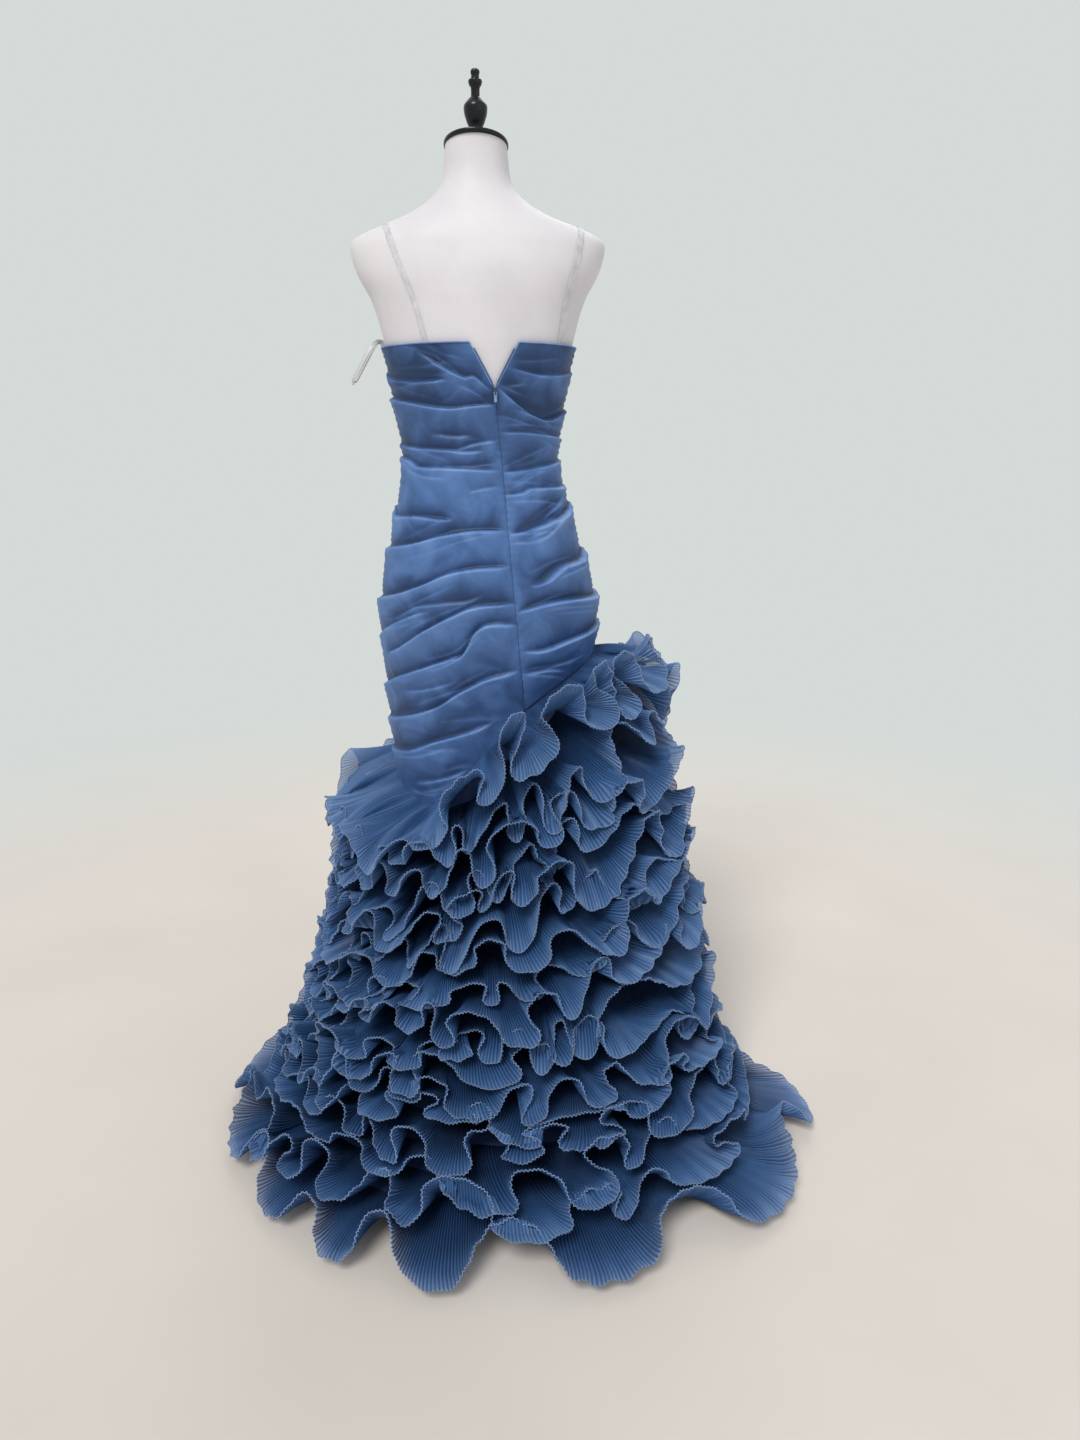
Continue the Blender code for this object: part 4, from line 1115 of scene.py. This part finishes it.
def addToMap(reachMap, angle, share, out):
    # highest reach of the tiers made so far, by angle and share of the profile
    fresh = np.zeros_like(reachMap)
    for mix in (0.0, 0.25, 0.5, 0.75):
        a, s, o = [part[:-1] * (1 - mix) + part[1:] * mix for part in (angle, share, out)]
        np.maximum.at(fresh, mapCell(reachMap, a, s), o)
    for _ in range(2):
        spread = fresh
        for step in (-1, 1):
            spread = np.maximum(spread, np.roll(fresh, step, 0))
            spread = np.maximum(spread, np.roll(fresh, step, 1))
        fresh = spread
    for _ in range(4):
        fresh = (2 * fresh + np.roll(fresh, 1, 0) + np.roll(fresh, -1, 0)
                 + np.roll(fresh, 1, 1) + np.roll(fresh, -1, 1)) / 6
    return np.maximum(reachMap, fresh)


def makeStrip(number, strip, reachMap):
    folds = makeFolds(number, strip)
    count = len(folds["edges"]) - 1
    fine = np.linspace(0, count, count * ruffles["samples"] + 1)
    hem = skirtPoint(*stripShape(number, strip, fine, 1.0, folds))
    runs = np.concatenate([[0], np.cumsum(np.linalg.norm(np.diff(hem, axis=0), axis=-1))])
    columns = 2 * int(runs[-1] / ruffles["columnStep"] / 2)
    places = np.arange(columns) * runs[-1] / columns
    u = np.interp(places, runs, fine)[None, :]
    v = np.linspace(0, 1, ruffles["rows"])[:, None]
    angle, share, out = stripShape(number, strip, u, v, folds)
    # a small flutter of the hem, with beats that stray along it
    beat = places / ruffles["flutterLength"] * 2 * np.pi
    large, slow, small, quick = ruffles["flutterStray"]
    beat = (beat + large * np.sin(places * slow + number) + small * np.sin(places * quick))[None, :]
    swell, rate = ruffles["flutterSwell"]
    size = ruffles["flutter"] * (1 + swell * np.sin(places * rate + 2 * number))[None, :] * v**3
    out = out + size * np.sin(beat)
    share = share + ruffles["flutterAlong"] * size * np.cos(beat) / skirtTotal(angle)
    # laid over the strips made before it
    under = reachMap[mapCell(reachMap, angle, share)]
    out = np.maximum(out, np.where(under > 0, under + ruffles["apart"], 0) * np.minimum(1, 6 * v))
    for _ in range(3):
        out = (2 * out + np.roll(out, 1, 1) + np.roll(out, -1, 1)) / 4
    reachMap = addToMap(reachMap, angle, share, out)
    grid = skirtPoint(angle, share, out)
    # pleats: every second column stands out, the others in
    across = np.roll(grid, -1, 1) - np.roll(grid, 1, 1)
    normal = unit(np.cross(np.gradient(grid, axis=0), across))
    zigzag = np.where(np.arange(columns) % 2 == 0, 1.0, -1.0)[None, :, None]
    least = ruffles["pleatAtSeam"]
    grid = grid + normal * zigzag * ruffles["pleatDepth"] * (least + (1 - least) * v[..., None])
    grid[..., 2] = np.maximum(grid[..., 2], ruffles["lowest"])
    width = float(np.linalg.norm(np.diff(grid, axis=0), axis=-1).sum(0).mean())
    hemLength = runLength(grid[-1])
    name = "ruffle_" + str(strip["node"]) + "_" + strip["layer"]
    made = gridPiece(name, grid, looks["pleats"], closed=True,
                     across=np.linspace(0, hemLength, columns + 1),
                     along=np.linspace(0, width, ruffles["rows"]), crisp=32)
    # painted shade at the seam and in every other pleat, painted light towards the hem and over the
    # first strip; the same values set how see-through the cloth is
    pale = ruffles["pale"]
    sooner = float(np.clip((strip["share"] - ruffles["soonerFrom"]) / ruffles["soonerOver"], 0, 1))
    shadeAndSheer = (pale["seam"] + pale["hem"] * v ** (pale["curve"] - ruffles["soonerCurve"] * sooner)
              + pale["last"] * v**5 + zigzag[..., 0] * pale["lines"])
    extra = pale["first"] + pale["firstSeam"] * (1 - v**3) if number == 0 else 0
    addValues(made, "pleatOpen", shadeAndSheer + extra)
    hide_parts("ruffle_" + str(strip["node"]))
    hemEdge = tubePiece(name + "_hem", grid[-1], ruffles["hemRadius"], looks["hem"],
                        closed=True, sides=3, guide=unit(grid[-1] - grid[-2]))
    return name, reachMap


def makeRuffles():
    # from the floor up, so that each strip lies over those below it
    reachMap = np.zeros(ruffles["mapCells"])
    below = "underskirt_shell"
    for number, strip in reversed(list(enumerate(ruffles["strips"]))):
        below, reachMap = makeStrip(number, strip, reachMap)


zipper = {
    "topZ": 1.180,
    "tapeSize": (0.011, 0.50),
    "tapeClear": 0.0027,
    "show": 0.0026,           # of the open tapes past the panels' edges
    "showOver": 0.012,
    "rows": 160,
    "columns": 5,
    "openStop": 0.002,        # the open coils stop this far above the notch
    "coilPitch": 0.0015,
    "coilRadius": 0.0008,
    "coilClear": 0.0040,
    "wireRadius": 0.00034,
    "chainRadius": 0.0012,
    "chainClear": 0.0013,
    "chainStep": 0.00075,
    "chainWobble": 0.0004,
    "chainFrom": 0.1,         # about how far the chain lies from the figure's middle
    "chainEnds": (0.001, 0.02),  # below the notch, and below the zip's end
    "castEdge": 0.00012,
}


def notchEdge(z, side):
    # the open tapes show a little past the panels' edges
    show = zipper["show"] * np.clip((z - sheath["notchZ"]) / zipper["showOver"], 0, 1)
    return edgeAngle(z, side) - side * np.degrees(show / bodyRadius(0 * z, z))


def makeZip():
    width, length = zipper["tapeSize"]
    for word, side in (("left", -1), ("right", 1)):
        z = np.linspace(zipper["topZ"], sheath["zipEndZ"], zipper["rows"])[:, None]
        inner = notchEdge(z, side)
        share = np.linspace(0, 1, zipper["columns"])[None, :]
        reach = np.degrees(width / bodyRadius(inner, z)) * side
        angle = inner + reach * (share if side > 0 else 1 - share)
        tape = gridPiece("zip_tape_woven_" + word, bodyPoint(angle, z, zipper["tapeClear"]),
                         looks["tape"],
                         across=np.linspace(0, width, zipper["columns"]),
                         along=np.linspace(0, length, zipper["rows"]))
        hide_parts("zip_tape_" + word)
        # the open coils, ten points a turn
        openLength = zipper["topZ"] - sheath["notchZ"] - zipper["openStop"]
        turns = np.arange(0, openLength / zipper["coilPitch"], 0.1)
        height = zipper["topZ"] - turns * zipper["coilPitch"]
        swing = zipper["coilRadius"] * np.cos(turns * 2 * np.pi)
        rise = zipper["coilRadius"] * np.sin(turns * 2 * np.pi)
        line = notchEdge(height, side) + np.degrees(swing / bodyRadius(0 * height, height))
        coil = tubePiece("zip_coil_" + word, bodyPoint(line, height, zipper["coilClear"] + rise),
                         zipper["wireRadius"], looks["tape"], sides=5)
    # the closed chain under the seam, as one ribbed cord
    above, below = zipper["chainEnds"]
    height = np.arange(sheath["notchZ"] - above, sheath["zipEndZ"] - below, -zipper["chainStep"])
    middle = (edgeAngle(height, -1) + edgeAngle(height, 1)) / 2
    wobble = np.degrees(zipper["chainWobble"] * np.cos(np.arange(len(height)) * np.pi)
                        / zipper["chainFrom"])
    tubePiece("zip_closed_chain", bodyPoint(middle + wobble, height, zipper["chainClear"]),
              zipper["chainRadius"], looks["tape"])
    for node, look in (("zip_slider", "slider"), ("zip_pull_tab", "pull")):
        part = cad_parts[node]
        if len(part.data.materials) == 0:
            part.data.materials.append(looks[look])
        for slotIndex in range(len(part.data.materials)):
            part.data.materials[slotIndex] = looks[look]
        bevel = part.modifiers.new("castEdge", "BEVEL")
        bevel.width = zipper["castEdge"]
        bevel.segments = 2
    print("zip made")


straps = {
    "centreZ": 1.29,
    "half": 0.0045,
    "clear": 0.0006,
    "sewn": 0.0036,           # clear of the figure where they are sewn inside the gown
    "sewnShare": 8,           # over one part in this many of their length
    "splay": 0.25 / 0.14,     # how they lean with the shoulder, by distance from the middle
    "thickness": 0.0006,
    "grid": (120, 5),
    "farthest": 0.30,         # where the search for the figure's surface starts
    "halvings": 36,
    # each strap's line across the shoulders, and the angles it starts and ends at
    "runs": {
        "left": {"backX": -0.070, "topX": -0.136, "frontX": -0.088, "start": -55, "end": 228},
        "right": {"backX": 0.122, "topX": 0.152, "frontX": 0.100, "start": -67, "end": 230}},
}


def formSurface(x, turn):
    # point of the figure in the plane of x, on a ray from inside the shoulders
    low = 0 * x
    high = 0 * x + straps["farthest"]
    for _ in range(straps["halvings"]):
        middle = (low + high) / 2
        y = -middle * np.cos(turn)
        z = straps["centreZ"] + middle * np.sin(turn)
        depth = np.where(y < 0, bodyRead("back", z), bodyRead("front", z))
        inside = (x / bodyRead("half", z)) ** 2 + (y / depth) ** 2 < 1
        low = np.where(inside, middle, low)
        high = np.where(inside, high, middle)
    return np.stack([x, -low * np.cos(turn), straps["centreZ"] + low * np.sin(turn)], -1)


def makeStraps():
    rows, columns = straps["grid"]
    for word, run in straps["runs"].items():
        t = np.linspace(0, 1, rows)[:, None]
        turn = np.radians(run["start"] + t * (run["end"] - run["start"]))
        base = run["backX"] + t * (run["frontX"] - run["backX"])
        rise = run["topX"] - (run["backX"] + run["frontX"]) / 2
        side = np.linspace(-1, 1, columns)[None, :]
        x = base + rise * np.sin(np.pi * t) + straps["half"] * side
        turn = turn + 0 * x
        out = unit(np.stack([straps["splay"] * x, -np.cos(turn), np.sin(turn)], -1))
        sewn = np.maximum(0, 1 - straps["sewnShare"] * np.minimum(t, 1 - t))
        lift = straps["clear"] + sewn * (straps["sewn"] - straps["clear"])
        made = gridPiece("clear_strap_" + word, formSurface(x, turn) + out * lift[..., None],
                         looks["clear"])
        wall = made.modifiers.new("wall", "SOLIDIFY")
        wall.thickness = straps["thickness"]
        wall.offset = 0.0
        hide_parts("strap_" + word)
    print("straps made")


# satin hanger loop that hangs out over the upper edge at the left side
ribbon = {
    "route": [
        (-0.1450, -0.0036, 1.1780), (-0.1452, -0.0036, 1.1860), (-0.1480, -0.0055, 1.1935),
        (-0.1545, -0.0120, 1.1935), (-0.1630, -0.0170, 1.1850), (-0.1750, -0.0240, 1.1640),
        (-0.1870, -0.0290, 1.1420), (-0.1900, -0.0250, 1.1340), (-0.1850, -0.0190, 1.1410),
        (-0.1725, -0.0120, 1.1640), (-0.1610, -0.0030, 1.1860), (-0.1545, 0.0020, 1.1935),
        (-0.1480, 0.0040, 1.1935), (-0.1454, 0.0042, 1.1860), (-0.1452, 0.0042, 1.1780)],
    "rows": 110,
    "columns": 7,
    "turns": (0.35, 0.8, 0.25, 1.1),  # how its flat side turns along it: two sizes and beats
    "half": 0.0033,
    "cup": 0.0004,            # curve across it
    "thickness": 0.0003,
    "cloth": (0.006, 0.15),
}


def makeRibbon():
    route = np.array(ribbon["route"])
    steps = np.linspace(0, len(route) - 1, ribbon["rows"])
    line = np.stack([cubicRead(np.arange(len(route)), route[:, k], steps) for k in range(3)], -1)
    large, slow, small, quick = ribbon["turns"]
    outward = np.stack([-large + large * np.sin(steps * slow), -1 + 0 * steps,
                        small * np.cos(steps * quick)], -1)
    across = unit(np.cross(np.gradient(line, axis=0), outward)) * ribbon["half"]
    side = np.linspace(-1, 1, ribbon["columns"])
    grid = line[:, None, :] + across[:, None, :] * side[None, :, None]
    grid[..., 0] += (ribbon["cup"] * side**2)[None, :]
    width, length = ribbon["cloth"]
    made = gridPiece("hanger_ribbon_satin", grid, looks["ribbon"],
                     across=np.linspace(0, width, ribbon["columns"]),
                     along=np.linspace(0, length, ribbon["rows"]))
    wall = made.modifiers.new("wall", "SOLIDIFY")
    wall.thickness = ribbon["thickness"]
    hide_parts("hanger_ribbon")
    print("ribbon made")


stage = {
    "background": "#D4DAD8",
    "skyLight": "#F6F9FF",
    "ambient": 0.33,
    "floor": [(0.3, "#DDD5CC"), (0.7, "#E1DAD2")],
    "floorSize": 60,
    "fade": (0.9, 2.6),       # distances between which the floor fades to the background
    "cameraPlace": (0.093, -1.74, 1.083),
    "cameraTilt": 90 - 15.6,
    "lens": 27.05,
    # name, from where, softness in degrees, strength, colour
    "lamps": [("key", (-0.30, -0.70, 1.0), 24, 2.1, "#FFFDFA"),
              ("fill", (1.0, -0.9, 0.35), 60, 0.34, "#F4F8FF"),
              ("back", (0.2, 1.0, 0.9), 40, 0.62, "#FFFFFF")],
}


def seenRays(tree):
    # 1 where the background is looked at, straight or in metal and clear plastic
    rays = addNode(tree, "ShaderNodeLightPath").outputs
    either = addNode(tree, "ShaderNodeMath", {"operation": "MAXIMUM"},
                     {0: rays["Is Camera Ray"], 1: rays["Is Glossy Ray"]})
    return addNode(tree, "ShaderNodeMath", {"operation": "MAXIMUM"},
                   {0: either.outputs[0], 1: rays["Is Transmission Ray"]}).outputs[0]


def makeWorld():
    world = bpy.data.worlds.new("studio")
    bpy.context.scene.world = world
    world.use_nodes = True
    tree = world.node_tree
    tree.nodes.clear()
    seen = addNode(tree, "ShaderNodeBackground", {"Color": linear(stage["background"])})
    lit = addNode(tree, "ShaderNodeBackground", {"Color": linear(stage["skyLight"]),
                                                 "Strength": stage["ambient"]})
    mix = addNode(tree, "ShaderNodeMixShader", links={
        0: seenRays(tree), 1: lit.outputs[0], 2: seen.outputs[0]})
    addNode(tree, "ShaderNodeOutputWorld", links={"Surface": mix.outputs[0]})


def makeFloor():
    # matt screed, in clouds of about 330 mm, that fades to the background away from the gown
    look, tree, shader, place = newLook("paleFloor", {"Roughness": 0.6,
                                                      "Specular IOR Level": 0.25})
    grain = addNode(tree, "ShaderNodeTexNoise", {"Scale": grainScale(333), "Detail": 5.0},
                    {"Vector": place["Object"]})
    colour = addNode(tree, "ShaderNodeValToRGB", {"stops": stage["floor"]},
                     {"Fac": grain.outputs["Fac"]})
    tree.links.new(colour.outputs["Color"], shader.inputs["Base Color"])
    away = addNode(tree, "ShaderNodeVectorMath", {"operation": "LENGTH"}, {0: place["Object"]})
    near, far = stage["fade"]
    fade = addNode(tree, "ShaderNodeMapRange", {"interpolation_type": "SMOOTHSTEP",
                                                "From Min": near, "From Max": far},
                   {"Value": away.outputs["Value"]})
    glow = addNode(tree, "ShaderNodeEmission", {"Color": linear(stage["background"])})
    share = addNode(tree, "ShaderNodeMath", {"operation": "MULTIPLY"},
                    {0: fade.outputs["Result"], 1: seenRays(tree)})
    mix = addNode(tree, "ShaderNodeMixShader", links={
        0: share.outputs[0], 1: shader.outputs[0], 2: glow.outputs[0]})
    tree.links.new(mix.outputs[0], tree.nodes["Material Output"].inputs["Surface"])
    bpy.ops.mesh.primitive_plane_add(size=stage["floorSize"])
    floor = bpy.context.object
    floor.name = "floor"
    floor.data.materials.append(look)


def placeObject(name, data, place, turns):
    made = bpy.data.objects.new(name, data)
    bpy.context.collection.objects.link(made)
    made.location = place
    made.rotation_euler = turns
    return made


def makeStage():
    makeWorld()
    makeFloor()
    for name, place, softness, strength, colour in stage["lamps"]:
        lamp = bpy.data.lights.new(name, "SUN")
        lamp.angle = math.radians(softness)
        lamp.energy = strength
        lamp.color = linear(colour)[:3]
        x, y, z = place
        placeObject(name, lamp, place, (math.atan2(math.hypot(x, y), z), 0, math.atan2(x, -y)))
    camera = bpy.data.cameras.new("camera")
    camera.lens = stage["lens"]
    camera.sensor_width = 36
    bpy.context.scene.camera = placeObject("camera", camera, stage["cameraPlace"],
                                           (math.radians(stage["cameraTilt"]), 0, 0))
    bpy.context.scene.view_settings.view_transform = "Standard"
    print("stage made")


makeForm()
makeSheath()
makeUnderskirt()
makeRuffles()
makeZip()
makeStraps()
makeRibbon()
makeStage()

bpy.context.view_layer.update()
added = [o for o in bpy.data.objects if o.type == "MESH" and o.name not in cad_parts]
triangles = {o.name: sum(len(f.vertices) - 2 for f in o.data.polygons) for o in added}
print("triangles", sum(triangles.values()), "most", max(triangles.values()))
